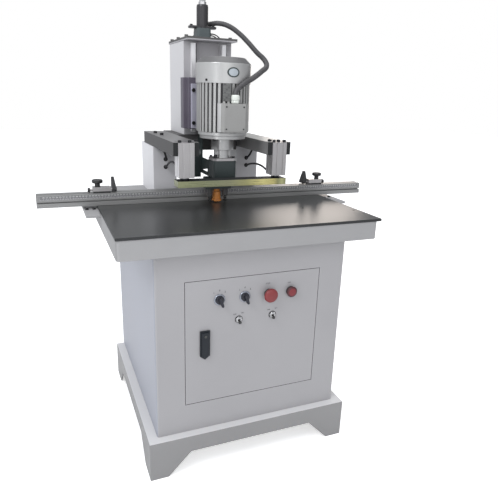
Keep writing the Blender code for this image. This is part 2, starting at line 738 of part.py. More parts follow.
# Cabinet: a sheet box with a door opening, two hidden pivot pins and a keeper for the lock's cam
def make_cabinet():
    half = CABINET_WIDTH / 2
    cabinet = shape_object("cabinet_shell", prism(
        rounded(-half, half, 0, CABINET_DEPTH, CABINET_CORNER), 2, CABINET_BOTTOM, CABINET_TOP), material=PAINT)
    inside = rounded(-half + CABINET_SHEET, half - CABINET_SHEET, CABINET_SHEET, CABINET_DEPTH - CABINET_SHEET,
                     CABINET_CORNER - CABINET_SHEET)
    cut(cabinet, prism(inside, 2, CABINET_BOTTOM + CABINET_SHEET, CABINET_TOP - CABINET_SHEET))
    opening = DOOR_WIDTH / 2 + DOOR_SLOT
    cut(cabinet, block((-opening, -OVER, DOOR_BOTTOM - DOOR_SLOT),
                       (opening, CABINET_SHEET + OVER, DOOR_TOP + DOOR_SLOT)))
    sheet_middle = CABINET_SHEET / 2
    for edge, way in ((DOOR_TOP, 1), (DOOR_BOTTOM, -1)):
        low, high = sorted((edge + way * DOOR_SLOT, edge + way * (DOOR_SLOT + HINGE_BLOCK_SIZE)))
        add(cabinet, block((HINGE_X - HINGE_BLOCK_SIZE / 2, sheet_middle, low - way * OVER / 10),
                           (HINGE_X + HINGE_BLOCK_SIZE / 2, HINGE_BLOCK_SIZE, high)))
        low, high = sorted((edge - way * HINGE_PIN_DEPTH, edge + way * (DOOR_SLOT + OVER)))
        add(cabinet, rod((HINGE_X, HINGE_Y, 0), HINGE_PIN_RADIUS, low, high, 8))
    add(cabinet, block((-opening - KEEPER_WIDTH, sheet_middle, lock_pivot_z() - KEEPER_HALF_HEIGHT),
                       (-opening - DOOR_SLOT, LOCK_BARREL_DEPTH - RUN / 2, lock_pivot_z() + KEEPER_HALF_HEIGHT)))


def switch_places():
    return ((SELECTOR_LEFT_X, CONTROL_Z), (SELECTOR_RIGHT_X, CONTROL_Z), (ESTOP_X, CONTROL_Z),
            (STOP_X, CONTROL_Z))


def toggle_places():
    return ((TOGGLE_LEFT_X, TOGGLE_Z), (TOGGLE_RIGHT_X, TOGGLE_Z))


def make_door():
    half = DOOR_WIDTH / 2
    door = shape_object("door_panel", block((-half, 0, DOOR_BOTTOM), (half, DOOR_RETURN, DOOR_TOP)), DOOR, PAINT)
    cut(door, block((-half + DOOR_SHEET, DOOR_SHEET, DOOR_BOTTOM + DOOR_SHEET),
                    (half - DOOR_SHEET, DOOR_RETURN + OVER, DOOR_TOP - DOOR_SHEET)), DOOR)
    for x, z in switch_places():
        cut(door, rod((x, 0, z), SWITCH_HOLE_RADIUS, -OVER, DOOR_SHEET + OVER, 20, 1), DOOR)
    for x, z in toggle_places():
        cut(door, rod((x, 0, z), TOGGLE_HOLE_RADIUS, -OVER, DOOR_SHEET + OVER, 16, 1), DOOR)
    cut(door, rod((LOCK_X, 0, lock_pivot_z()), LOCK_BARREL_RADIUS + GAP, -OVER, DOOR_SHEET + OVER, 20, 1), DOOR)
    size = HINGE_BLOCK_SIZE
    for edge, way in ((DOOR_TOP, -1), (DOOR_BOTTOM, 1)):
        low, high = sorted((edge + way * DOOR_SHEET / 2, edge + way * (size + DOOR_SHEET)))
        add(door, block((half - size, DOOR_SHEET / 2, low), (half - DOOR_SHEET / 2, size, high)), DOOR)
        low, high = sorted((edge - way * OVER, edge + way * (HINGE_PIN_DEPTH + RUN / 2)))
        cut(door, rod((HINGE_X, HINGE_Y, 0), HINGE_PIN_RADIUS + GAP, low, high, 8), DOOR)


# Switches: one mounting plate behind the door carries the switch bodies and the bezels
def make_switch_block():
    back = DOOR_SHEET + GAP
    plate_low = TOGGLE_Z - SWITCH_PLATE_MARGIN
    plate_high = CONTROL_Z + SWITCH_PLATE_MARGIN
    unit = shape_object("switch_block", block(
        (SELECTOR_LEFT_X - SWITCH_PLATE_MARGIN, back, plate_low),
        (STOP_X + SWITCH_PLATE_MARGIN, back + SWITCH_PLATE_THICKNESS, plate_high)), DOOR, BLACK)
    for x, z in switch_places():
        add(unit, block((x - SWITCH_BODY_HALF, back + OVER / 2, z - SWITCH_BODY_HALF),
                        (x + SWITCH_BODY_HALF, back + SWITCH_BODY_DEPTH, z + SWITCH_BODY_HALF)), DOOR)
        add(unit, rod((x, 0, z), SWITCH_HOLE_RADIUS - GAP, -OVER, back + OVER, 20, 1), DOOR)
        bezel = BEZEL_RADIUS if x < ESTOP_X else BUTTON_BEZEL_RADIUS
        add(unit, rod((x, 0, z), bezel, -BEZEL_THICKNESS, -GAP, 28, 1), DOOR)
        cut(unit, rod((x, 0, z), SWITCH_STEM_RADIUS + GAP, -BEZEL_THICKNESS - OVER,
                      back + SWITCH_BODY_DEPTH / 2, 12, 1), DOOR)
    for x, z in toggle_places():
        add(unit, block((x - SWITCH_BODY_HALF, back + OVER / 2, z - SWITCH_BODY_HALF),
                        (x + SWITCH_BODY_HALF, back + SWITCH_BODY_DEPTH, z + SWITCH_BODY_HALF)), DOOR)
        add(unit, rod((x, 0, z), TOGGLE_HOLE_RADIUS - GAP, -OVER, back + OVER, 16, 1), DOOR)
        add(unit, rod((x, 0, z), TOGGLE_NUT_RADIUS, -TOGGLE_NUT_THICKNESS, -GAP, 6, 1), DOOR)
        cut(unit, rod((x, 0, z), TOGGLE_BALL_RADIUS + GAP, -TOGGLE_NUT_THICKNESS - OVER,
                      back + SWITCH_BODY_DEPTH / 2, 12, 1), DOOR)


def make_selectors():
    for side, x in (("left", SELECTOR_LEFT_X), ("right", SELECTOR_RIGHT_X)):
        front = -BEZEL_THICKNESS - GAP
        body = make_body("selector_" + side + "_axis", (x, front, CONTROL_Z), DOOR)
        knob = shape_object("selector_knob_" + side, turned((
            (0, front - SELECTOR_CAP_THICKNESS), (SELECTOR_CAP_RADIUS, front - SELECTOR_CAP_THICKNESS),
            (SELECTOR_CAP_RADIUS, front), (SWITCH_STEM_RADIUS, front), (SWITCH_STEM_RADIUS, SWITCH_BODY_DEPTH / 4),
            (0, SWITCH_BODY_DEPTH / 4)), (x, 0, CONTROL_Z), 24, 1), body, BLACK)
        add(knob, block(
            (x - SELECTOR_LEVER_WIDTH / 2, front - SELECTOR_LEVER_HEIGHT - SELECTOR_CAP_THICKNESS,
             CONTROL_Z - SELECTOR_LEVER_LENGTH + SELECTOR_CAP_RADIUS),
            (x + SELECTOR_LEVER_WIDTH / 2, front - OVER / 2, CONTROL_Z + SELECTOR_CAP_RADIUS - OVER)), body)
        body.rotation_euler = (0.0, SELECTOR_REST_ANGLE, 0.0)
        smooth(knob)


def make_buttons():
    front = -BEZEL_THICKNESS - GAP
    for name, x, radius, height, neck, travel in (
            ("estop_button", ESTOP_X, ESTOP_RADIUS, ESTOP_HEIGHT, ESTOP_NECK_LENGTH, ESTOP_TRAVEL),
            ("stop_button", STOP_X, STOP_RADIUS, STOP_HEIGHT, STOP_NECK_LENGTH, STOP_TRAVEL)):
        body = make_body(name + "_axis", (x, front, CONTROL_Z), DOOR)
        under = front - neck
        shoulder = under - height / 3
        neck_radius = min(ESTOP_NECK_RADIUS, SWITCH_HOLE_RADIUS)
        button = shape_object(name, turned((
            (0, under - height), (radius * 0.55, under - height * 0.93), (radius * 0.86, under - height * 0.70),
            (radius, shoulder), (radius, under), (neck_radius, under), (neck_radius, front - travel),
            (SWITCH_STEM_RADIUS, front - travel), (SWITCH_STEM_RADIUS, SWITCH_BODY_DEPTH / 4),
            (0, SWITCH_BODY_DEPTH / 4)), (x, 0, CONTROL_Z), 28, 1), body, RED)
        smooth(button)


def make_toggles():
    pivot_y = -TOGGLE_NUT_THICKNESS / 2
    for side, (x, z) in zip(("left", "right"), toggle_places()):
        body = make_body("toggle_" + side + "_axis", (x, pivot_y, z), DOOR)
        lever = shape_object("toggle_lever_" + side, turned((
            (0, pivot_y - TOGGLE_LEVER_LENGTH), (TOGGLE_LEVER_TIP_RADIUS * 0.8, pivot_y - TOGGLE_LEVER_LENGTH),
            (TOGGLE_LEVER_TIP_RADIUS, pivot_y - TOGGLE_LEVER_LENGTH * 0.85),
            (TOGGLE_LEVER_RADIUS, pivot_y - TOGGLE_BALL_RADIUS),
            (TOGGLE_BALL_RADIUS * 0.9, pivot_y - TOGGLE_BALL_RADIUS / 3),
            (TOGGLE_BALL_RADIUS * 0.9, pivot_y + TOGGLE_BALL_RADIUS / 3),
            (0, pivot_y + TOGGLE_BALL_RADIUS * 0.9)), (x, 0, z), 12, 1), body, STEEL)
        lever.rotation_euler = (TOGGLE_REST_ANGLE, 0.0, 0.0)
        smooth(lever)


# Door lock: housing on the door, turning lever with a cam behind the door
def lock_pivot_z():
    return LOCK_TOP - LOCK_PIVOT_DROP - LOCK_BARREL_RADIUS


def make_lock():
    half = LOCK_WIDTH / 2
    shoulder = LOCK_TOP - LOCK_SHOULDER
    tip = LOCK_TOP - LOCK_HEIGHT
    pivot = lock_pivot_z()
    housing = shape_object("lock_housing", prism(
        ((LOCK_X - half, LOCK_TOP), (LOCK_X + half, LOCK_TOP), (LOCK_X + half, shoulder), (LOCK_X, tip),
         (LOCK_X - half, shoulder)), 1, -LOCK_THICKNESS, -GAP), DOOR, BLACK)
    add(housing, rod((LOCK_X, 0, pivot), LOCK_BARREL_RADIUS, -OVER, LOCK_BARREL_DEPTH, 20, 1), DOOR)
    cut(housing, rod((LOCK_X, 0, pivot), LOCK_STEM_RADIUS + GAP, -LOCK_THICKNESS - OVER,
                     LOCK_BARREL_DEPTH + OVER, 12, 1), DOOR)
    front = -LOCK_THICKNESS - GAP
    body = make_body("lock_axis", (LOCK_X, front, pivot), DOOR)
    edge = half - LOCK_LEVER_MARGIN
    top = LOCK_TOP - LOCK_LEVER_MARGIN
    lever = shape_object("lock_lever", prism(
        ((LOCK_X - edge, top), (LOCK_X + edge, top), (LOCK_X + edge, shoulder + LOCK_LEVER_MARGIN / 2),
         (LOCK_X, tip + LOCK_LEVER_MARGIN), (LOCK_X - edge, shoulder + LOCK_LEVER_MARGIN / 2)),
        1, front - LOCK_LEVER_THICKNESS, front), body, BLACK)
    cam_low = LOCK_BARREL_DEPTH + GAP
    add(lever, rod((LOCK_X, 0, pivot), LOCK_STEM_RADIUS, front - OVER, cam_low + LOCK_CAM_THICKNESS / 2, 12, 1), body)
    add(lever, block((LOCK_X - LOCK_CAM_HALF, cam_low, pivot - LOCK_CAM_LENGTH),
                     (LOCK_X + LOCK_CAM_HALF, cam_low + LOCK_CAM_THICKNESS, pivot + LOCK_CAM_HALF)), body)


# Table: a welded frame with rear deck and fence plates, and a loose top slab
def frame_outline(inset, corner):
    left = FRAME_LEFT + inset
    right = FRAME_RIGHT - inset
    front = FRAME_FRONT + inset
    side_back = FRAME_SIDE_BACK - inset
    deck = DECK_HALF - inset
    back = DECK_BACK - inset
    points = [(deck, side_back), (deck, back), (-deck, back), (-deck, side_back), (left, side_back)]
    for x, quarter in ((left + corner, 2), (right - corner, 3)):
        for step in range(5):
            angle = math.pi / 2 * (quarter + step / 4)
            points.append((x + corner * math.cos(angle), front + corner + corner * math.sin(angle)))
    points.append((right, side_back))
    return points


def make_table():
    frame = shape_object("table_frame", prism(
        frame_outline(0, FRAME_CORNER), 2, FRAME_BOTTOM, FRAME_TOP), material=PAINT)
    cut(frame, prism(frame_outline(FRAME_WALL, FRAME_CORNER - FRAME_WALL), 2,
                     FRAME_BOTTOM + FRAME_FLOOR, FRAME_TOP + OVER))
    deck_front = SLAB_BACK + GAP
    add(frame, block((-DECK_HALF, deck_front, FRAME_TOP - OVER), (DECK_HALF, DECK_BACK, TABLE_TOP)))
    for edge, side, reach in ((-FRAME_LEFT, -1, FENCE_PLATE_LEFT_REACH), (FRAME_RIGHT, 1, FENCE_PLATE_RIGHT_REACH)):
        low, high = mirrored(side, edge - FRAME_WALL / 2, edge + reach)
        top = FRAME_TOP
        add(frame, block((low, FENCE_PLATE_FRONT, top - FENCE_PLATE_THICKNESS),
                         (high, FENCE_PLATE_BACK, top)))
    slab = shape_object("table_top", block(
        (-SLAB_HALF, SLAB_FRONT, SLAB_BOTTOM), (SLAB_HALF, SLAB_BACK, TABLE_TOP)), material=DARK_TABLE)
    for x, y in zip(SLAB_HOLE_X, SLAB_HOLE_Y):
        cut(slab, rod((x, y, 0), SLAB_HOLE_RADIUS, SLAB_BOTTOM - OVER, TABLE_TOP + OVER, 12))


# Fence: an aluminium profile with a front groove, a scale step and a slot for the stops
def make_fence():
    groove_low = FENCE_BOTTOM + FENCE_GROOVE_Z - FENCE_GROOVE_HALF
    groove_high = FENCE_BOTTOM + FENCE_GROOVE_Z + FENCE_GROOVE_HALF
    groove_in = FENCE_FRONT + FENCE_GROOVE_DEPTH
    step_z = FENCE_BOTTOM + FENCE_STEP_Z
    step_in = FENCE_FRONT + FENCE_STEP_DEPTH
    slot_front = FENCE_FRONT + TOP_SLOT_Y - TOP_SLOT_HALF
    slot_back = FENCE_FRONT + TOP_SLOT_Y + TOP_SLOT_HALF
    slot_low = FENCE_TOP - TOP_SLOT_DEPTH
    channel_mid = FENCE_BOTTOM + FENCE_HEIGHT / 2
    outline = ((FENCE_FRONT, FENCE_BOTTOM), (FENCE_FRONT, groove_low), (groove_in, groove_low),
               (groove_in, groove_high), (FENCE_FRONT, groove_high), (FENCE_FRONT, step_z),
               (step_in, step_z), (step_in, FENCE_TOP), (slot_front, FENCE_TOP), (slot_front, slot_low),
               (slot_back, slot_low), (slot_back, FENCE_TOP), (FENCE_BACK, FENCE_TOP),
               (FENCE_BACK, channel_mid + FENCE_CHANNEL_HALF),
               (FENCE_BACK - FENCE_CHANNEL_DEPTH, channel_mid + FENCE_CHANNEL_HALF),
               (FENCE_BACK - FENCE_CHANNEL_DEPTH, channel_mid - FENCE_CHANNEL_HALF),
               (FENCE_BACK, channel_mid - FENCE_CHANNEL_HALF), (FENCE_BACK, FENCE_BOTTOM))
    shape_object("fence_rail", prism(outline, 0, -FENCE_HALF, FENCE_HALF), material=ALUMINIUM)


def make_stops():
    base = FENCE_TOP + GAP
    axle_z = FENCE_TOP + AXLE_Z
    for name, side in SIDES:
        body = make_body("stop_" + name + "_slide", (side * KNOB_X, STOP_AXLE_Y, base), MACHINE)
        low, high = mirrored(side, STOP_BLOCK_INNER, STOP_BLOCK_OUTER)
        front = STOP_AXLE_Y - STOP_BLOCK_HALF_DEPTH
        back = STOP_AXLE_Y + STOP_BLOCK_HALF_DEPTH
        clamp = shape_object("stop_block_" + name, block(
            (low, front, base), (high, back, base + STOP_BLOCK_HEIGHT)), body, ALUMINIUM)
        tongue = TOP_SLOT_HALF - RUN / 2
        add(clamp, block((low + OVER, STOP_AXLE_Y - tongue, base - STOP_TONGUE_DEPTH),
                         (high - OVER, STOP_AXLE_Y + tongue, base + OVER)), body)
        axle_low, axle_high = mirrored(side, AXLE_INNER, AXLE_OUTER)
        centre = (0, STOP_AXLE_Y, axle_z)
        add(clamp, rod(centre, AXLE_RADIUS, axle_low, axle_high, 12, 0), body)
        add(clamp, rod(centre, AXLE_CAP_RADIUS, axle_low, axle_low + AXLE_CAP_LENGTH, 12, 0), body)
        add(clamp, rod(centre, AXLE_CAP_RADIUS, axle_high - AXLE_CAP_LENGTH, axle_high, 12, 0), body)
        make_finger(name, side, centre, body)
        make_knob(name, side, base, body)


def make_finger(name, side, centre, parent):
    inner = AXLE_INNER + AXLE_CAP_LENGTH + RUN / 2
    low, high = mirrored(side, inner, inner + FINGER_THICKNESS)
    body = make_body("finger_" + name + "_axis", ((low + high) / 2, centre[1], centre[2]), parent)
    y, z = centre[1], centre[2]
    outline = ((y - FINGER_HEEL, z - FINGER_HEEL), (y + FINGER_TAIL, z - FINGER_HEEL),
               (y + FINGER_TIP_BACK, z + FINGER_HEIGHT), (y + FINGER_TIP_FRONT, z + FINGER_HEIGHT),
               (y - FINGER_HEEL, z + FINGER_SHOULDER))
    finger = shape_object("flip_finger_" + name, prism(outline, 0, low, high), body, BLACK)
    cut(finger, rod(centre, AXLE_RADIUS + GAP, low - OVER, high + OVER, 12, 0), body)


def make_knob(name, side, base, parent):
    x = side * KNOB_X
    bottom = base + STOP_BLOCK_HEIGHT + GAP
    body = make_body("knob_" + name + "_axis", (x, STOP_AXLE_Y, bottom), parent)
    neck_top = bottom + KNOB_STEM_LENGTH
    top = neck_top + KNOB_THICKNESS
    edge = KNOB_THICKNESS / 4
    knob = shape_object("stop_knob_" + name, turned((
        (0, bottom), (KNOB_STEM_RADIUS, bottom), (KNOB_STEM_RADIUS, neck_top), (KNOB_RADIUS - edge, neck_top),
        (KNOB_RADIUS, neck_top + edge), (KNOB_RADIUS, top - edge), (KNOB_RADIUS - edge, top), (0, top)),
        (x, STOP_AXLE_Y, 0), 20), body, BLACK)
    smooth(knob)


# Portal
def make_portal():
    for name, side in SIDES:
        low, high = mirrored(side, ARM_INNER + GAP, PEDESTAL_OUTER)
        pedestal = shape_object("pedestal_" + name, block(
            (low, PEDESTAL_FRONT, TABLE_TOP + GAP), (high, PEDESTAL_BACK, PEDESTAL_TOP)), material=PAINT)
        cut(pedestal, block((low + PEDESTAL_WALL, PEDESTAL_FRONT + PEDESTAL_WALL, TABLE_TOP - OVER),
                            (high - PEDESTAL_WALL, PEDESTAL_BACK - PEDESTAL_WALL, PEDESTAL_TOP - PEDESTAL_WALL)))
        for z in (TUBE_HOLE_LOW_Z, TUBE_HOLE_HIGH_Z):
            cut(pedestal, rod((side * TUBE_HOLE_X, 0, z), TUBE_HOLE_RADIUS, PEDESTAL_FRONT - OVER,
                              PEDESTAL_FRONT + PEDESTAL_WALL + OVER, 12, 1))
        arm_low, arm_high = mirrored(side, ARM_INNER, ARM_OUTER)
        arm = shape_object("arm_" + name, block(
            (arm_low, ARM_FRONT, ARM_BOTTOM), (arm_high, ARM_BACK, ARM_TOP)), material=DARK_STEEL)
        pocket = CYLINDER_HALF + GAP
        cut(arm, block((side * CYLINDER_X - pocket, ARM_FRONT - OVER, ARM_BOTTOM - OVER),
                       (side * CYLINDER_X + pocket, CYLINDER_BACK + GAP, ARM_TOP + OVER)))
    half = ARM_INNER - GAP
    shape_object("bridge_plate", block((-half, BRIDGE_FRONT, BRIDGE_BOTTOM), (half, BRIDGE_BACK, ARM_TOP)),
                 material=DARK_STEEL)


# Press: two square air cylinders, their rods and the bar
def grooved_square(centre_x, centre_y, half):
    """A square with two shallow grooves in each side."""
    side = [(-half, -half)]
    for offset in (-CYLINDER_GROOVE_OFFSET, CYLINDER_GROOVE_OFFSET):
        side += [(offset - CYLINDER_GROOVE_HALF, -half),
                 (offset - CYLINDER_GROOVE_HALF, -half + CYLINDER_GROOVE_DEPTH),
                 (offset + CYLINDER_GROOVE_HALF, -half + CYLINDER_GROOVE_DEPTH),
                 (offset + CYLINDER_GROOVE_HALF, -half)]
    points = []
    for quarter in range(4):
        c, s = round(math.cos(quarter * math.pi / 2)), round(math.sin(quarter * math.pi / 2))
        points += [(centre_x + x * c - y * s, centre_y + x * s + y * c) for x, y in side]
    return points


def make_press():
    for name, side in SIDES:
        x = side * CYLINDER_X
        cylinder = shape_object("press_cylinder_" + name, prism(
            grooved_square(x, CYLINDER_Y, CYLINDER_HALF), 2, CYLINDER_BOTTOM, CYLINDER_TOP), material=ALUMINIUM)
        centre = (x, CYLINDER_Y, 0)
        cut(cylinder, rod(centre, CYLINDER_BORE, CYLINDER_BOTTOM + CYLINDER_END, CYLINDER_TOP - CYLINDER_END, 20))
        cut(cylinder, rod(centre, PRESS_ROD_RADIUS + GAP, CYLINDER_BOTTOM - OVER,
                          CYLINDER_BOTTOM + CYLINDER_END + OVER, 16))
        piston_low = PRESS_PISTON_TOP - PRESS_PISTON_THICKNESS
        rod_low = BAR_TOP + GAP
        press_rod = shape_object("press_rod_" + name, turned((
            (0, rod_low), (PRESS_ROD_RADIUS, rod_low), (PRESS_ROD_RADIUS, piston_low),
            (CYLINDER_BORE - GAP, piston_low), (CYLINDER_BORE - GAP, PRESS_PISTON_TOP), (0, PRESS_PISTON_TOP)),
            centre, 16), PRESS, STEEL)
        smooth(press_rod)
    shape_object("press_bar", block((-BAR_HALF, CYLINDER_FRONT, BAR_BOTTOM), (BAR_HALF, BAR_BACK, BAR_TOP)),
                 PRESS, ZINC)


# Column with a recess and a slot for the carriage's lug, top plate and rails
def make_column():
    recess_back = COLUMN_FRONT + RECESS_DEPTH
    column = shape_object("column_body", prism((
        (-COLUMN_HALF, COLUMN_FRONT), (-RECESS_HALF, COLUMN_FRONT), (-RECESS_HALF, recess_back),
        (RECESS_HALF, recess_back), (RECESS_HALF, COLUMN_FRONT), (COLUMN_HALF, COLUMN_FRONT),
        (COLUMN_HALF, COLUMN_BACK), (-COLUMN_HALF, COLUMN_BACK)), 2, COLUMN_BOTTOM, COLUMN_TOP), material=PAINT)
    cut(column, block((-COLUMN_HALF + COLUMN_WALL, recess_back + COLUMN_WALL, COLUMN_BOTTOM - OVER),
                      (COLUMN_HALF - COLUMN_WALL, COLUMN_BACK - COLUMN_WALL, COLUMN_TOP + OVER)))
    cut(column, block((-LUG_SLOT_HALF, recess_back - OVER, LUG_SLOT_BOTTOM),
                      (LUG_SLOT_HALF, recess_back + COLUMN_WALL + OVER, LUG_SLOT_TOP)))
    for name, side in SIDES:
        shape_object("guide_rail_" + name, block(
            (side * RAIL_X - RAIL_HALF, COLUMN_FRONT - RAIL_DEPTH, RAIL_BOTTOM),
            (side * RAIL_X + RAIL_HALF, COLUMN_FRONT - GAP, RAIL_TOP)), material=STEEL)
    plate = shape_object("column_top_plate", block(
        (-TOP_PLATE_HALF, TOP_PLATE_FRONT, TOP_PLATE_BOTTOM),
        (TOP_PLATE_HALF, TOP_PLATE_BACK, TOP_PLATE_TOP)), material=DARK_STEEL)
    cut(plate, rod((0, FEED_Y, 0), FEED_ROD_RADIUS + RUN, TOP_PLATE_BOTTOM - OVER, TOP_PLATE_TOP + OVER, 16))
    edge = COLUMN_WALL
    for x in (-COLUMN_HALF + edge, COLUMN_HALF - edge):
        for y in (COLUMN_FRONT - edge, (COLUMN_FRONT + COLUMN_BACK) / 2, COLUMN_BACK - edge):
            add(plate, rod((x, y, 0), BOLT_RADIUS, TOP_PLATE_TOP - OVER, TOP_PLATE_TOP + BOLT_HEIGHT, 8))
    fitting = (0, HOSE_FITTING_Y, 0)
    add(plate, rod(fitting, HOSE_FITTING_RADIUS, TOP_PLATE_TOP - OVER, HOSE_FITTING_TOP, 6))
    cut(plate, rod(fitting, HOSE_BORE, TOP_PLATE_BOTTOM - OVER, HOSE_FITTING_TOP + OVER, 10))


# Head
def make_carriage():
    carriage = shape_object("carriage", block(
        (-CARRIAGE_HALF, CARRIAGE_FRONT, CARRIAGE_BOTTOM), (CARRIAGE_HALF, CARRIAGE_BACK, CARRIAGE_TOP)),
        HEAD, DARK_STEEL)
    add(carriage, block((-MOUNT_HALF, MOUNT_FRONT, CARRIAGE_BOTTOM),
                        (MOUNT_HALF, CARRIAGE_FRONT + OVER, CARRIAGE_TOP)), HEAD)
    runner_back = COLUMN_FRONT - RUN
    rail = RAIL_HALF + GAP
    for side in (-1, 1):
        x = side * RAIL_X
        for low in (CARRIAGE_BOTTOM, CARRIAGE_TOP - RUNNER_LENGTH):
            add(carriage, block((x - RUNNER_HALF, CARRIAGE_BACK - OVER, low),
                                (x + RUNNER_HALF, runner_back, low + RUNNER_LENGTH)), HEAD)
        cut(carriage, block((x - rail, COLUMN_FRONT - RAIL_DEPTH - GAP, CARRIAGE_BOTTOM - OVER),
                            (x + rail, COLUMN_FRONT, CARRIAGE_TOP + OVER)), HEAD)
    add(carriage, block((-LUG_HALF, CARRIAGE_BACK - OVER, LUG_BOTTOM),
                        (LUG_HALF, FEED_Y + LUG_REACH, LUG_BOTTOM + LUG_HEIGHT)), HEAD)
    cut(carriage, rod((0, FEED_Y, 0), FEED_ROD_TOP_RADIUS + GAP, LUG_BOTTOM - OVER,
                      LUG_BOTTOM + LUG_HEIGHT + OVER, 16), HEAD)


def fin_outline():
    points = []
    for fin in range(MOTOR_FINS):
        for share, radius in ((0, MOTOR_FIN_RADIUS), (FIN_SHARE, MOTOR_FIN_RADIUS),
                              (FIN_SHARE, MOTOR_CORE_RADIUS), (1, MOTOR_CORE_RADIUS)):
            angle = 2 * math.pi * (fin + share) / MOTOR_FINS
            points.append((radius * math.cos(angle), MOTOR_Y + radius * math.sin(angle)))
    return points


def make_motor():
    axis = (0, MOTOR_Y, 0)
    housing = shape_object("motor_housing", prism(fin_outline(), 2, MOTOR_BOTTOM, MOTOR_TOP), HEAD, CAST_GREY)
    cut(housing, rod(axis, MOTOR_BORE, MOTOR_BOTTOM - OVER, MOTOR_TOP + OVER, 28), HEAD)
    feet = shape_object("motor_feet", block((-FEET_HALF, FEET_FRONT, FEET_BOTTOM),
                                            (FEET_HALF, MOUNT_FRONT - GAP, FEET_TOP)), HEAD, CAST_GREY)
    cut(feet, rod(axis, MOTOR_FIN_RADIUS + GAP, FEET_BOTTOM - OVER, FEET_TOP + OVER, 48), HEAD)
    wall = COWL_WALL
    cowl = shape_object("fan_cowl", turned((
        (COWL_RADIUS - wall, COWL_BOTTOM), (COWL_RADIUS, COWL_BOTTOM), (COWL_RADIUS, COWL_SHOULDER),
        (COWL_TOP_RADIUS, COWL_TOP), (0, COWL_TOP), (0, COWL_TOP - wall), (COWL_TOP_RADIUS - wall, COWL_TOP - wall),
        (COWL_RADIUS - wall, COWL_SHOULDER - wall)), axis, 36), HEAD, CAST_GREY)
    for vent in range(COWL_VENTS):
        angle = 2 * math.pi * vent / COWL_VENTS
        place = (COWL_VENT_RING * math.cos(angle), MOTOR_Y + COWL_VENT_RING * math.sin(angle), 0)
        cut(cowl, rod(place, COWL_VENT_RADIUS, COWL_TOP - 2 * wall, COWL_TOP + OVER, 10), HEAD)
    box_outline = clipped(-TERMINAL_HALF, TERMINAL_HALF, TERMINAL_FRONT, MOTOR_Y, TERMINAL_CHAMFER)
    terminal = shape_object("terminal_box", prism(box_outline, 2, TERMINAL_BOTTOM, TERMINAL_TOP), HEAD, CAST_GREY)
    cut(terminal, rod(axis, MOTOR_FIN_RADIUS + GAP, TERMINAL_BOTTOM - OVER, TERMINAL_TOP + OVER, 48), HEAD)
    gland_low = TERMINAL_TOP + GAP
    gland_mid = gland_low + GLAND_HEX_HEIGHT
    gland_axis = (GLAND_X, GLAND_Y, 0)
    gland = shape_object("cable_gland", rod(gland_axis, GLAND_HEX_RADIUS, gland_low, gland_mid, 6), HEAD, WHITE)
    add(gland, turned(((0, gland_mid - OVER), (GLAND_CAP_RADIUS, gland_mid - OVER),
                       (GLAND_CAP_RADIUS, gland_mid + GLAND_CAP_HEIGHT * 0.6),
                       (GLAND_CAP_RADIUS * 0.8, GLAND_TOP), (0, GLAND_TOP)), gland_axis, 16), HEAD)
    cut(gland, rod(gland_axis, GLAND_BORE, gland_low - OVER, GLAND_TOP + OVER, 12), HEAD)
    bore = SHAFT_RADIUS + RUN / 2
    flange_top = MOTOR_BOTTOM - GAP
    flange = shape_object("motor_flange", turned((
        (bore, COVER_TOP + GAP), (NECK_LOW_RADIUS, COVER_TOP + GAP), (NECK_LOW_RADIUS, NECK_STEP_Z),
        (NECK_RADIUS, NECK_STEP_Z), (NECK_RADIUS, FLANGE_BOTTOM), (FLANGE_RADIUS, FLANGE_BOTTOM),
        (FLANGE_RADIUS, flange_top), (bore, flange_top)), axis, 32), HEAD, CAST_GREY)
    for made in (cowl, flange):
        smooth(made)


def make_rotor():
    axis = (0, MOTOR_Y, 0)
    gear_top = DRIVE_GEAR_Z + DRIVE_GEAR_HEIGHT
    rotor = shape_object("motor_rotor", turned((
        (0, gear_top - OVER), (SHAFT_RADIUS * 0.6, gear_top - OVER), (SHAFT_RADIUS * 0.6, GEARBOX_TOP),
        (SHAFT_RADIUS, COVER_TOP), (SHAFT_RADIUS, ROTOR_BOTTOM), (ROTOR_RADIUS, ROTOR_BOTTOM),
        (ROTOR_RADIUS, ROTOR_TOP), (SHAFT_RADIUS, ROTOR_TOP), (SHAFT_RADIUS, FAN_BOTTOM),
        (FAN_HUB_RADIUS, FAN_BOTTOM), (FAN_HUB_RADIUS, SHAFT_TOP), (0, SHAFT_TOP)), axis, 20), ROTOR, STEEL)
    for blade in range(FAN_BLADES):
        angle = 2 * math.pi * blade / FAN_BLADES
        add(rotor, fan_blade(angle), ROTOR)
    outline = gear_outline(DRIVE_PITCH_RADIUS, DRIVE_TEETH, axis, drive_mesh_angle())
    add(rotor, prism(outline, 2, DRIVE_GEAR_Z, gear_top), ROTOR)


def fan_blade(angle):
    def build(work):
        inner = FAN_HUB_RADIUS - OVER
        block((inner, -FAN_BLADE_HALF, FAN_BOTTOM), (FAN_RADIUS, FAN_BLADE_HALF, FAN_BOTTOM + FAN_HEIGHT))(work)
        place = Matrix.Translation((0, MOTOR_Y, 0)) @ Matrix.Rotation(angle, 4, "Z")
        bmesh.ops.transform(work, matrix=place, verts=work.verts)
    return build


def drive_mesh_angle():
    """Direction from the motor's axis to the centre spindle's axis."""
    return math.atan2(SPINDLE_Y - MOTOR_Y, SPINDLE_X)


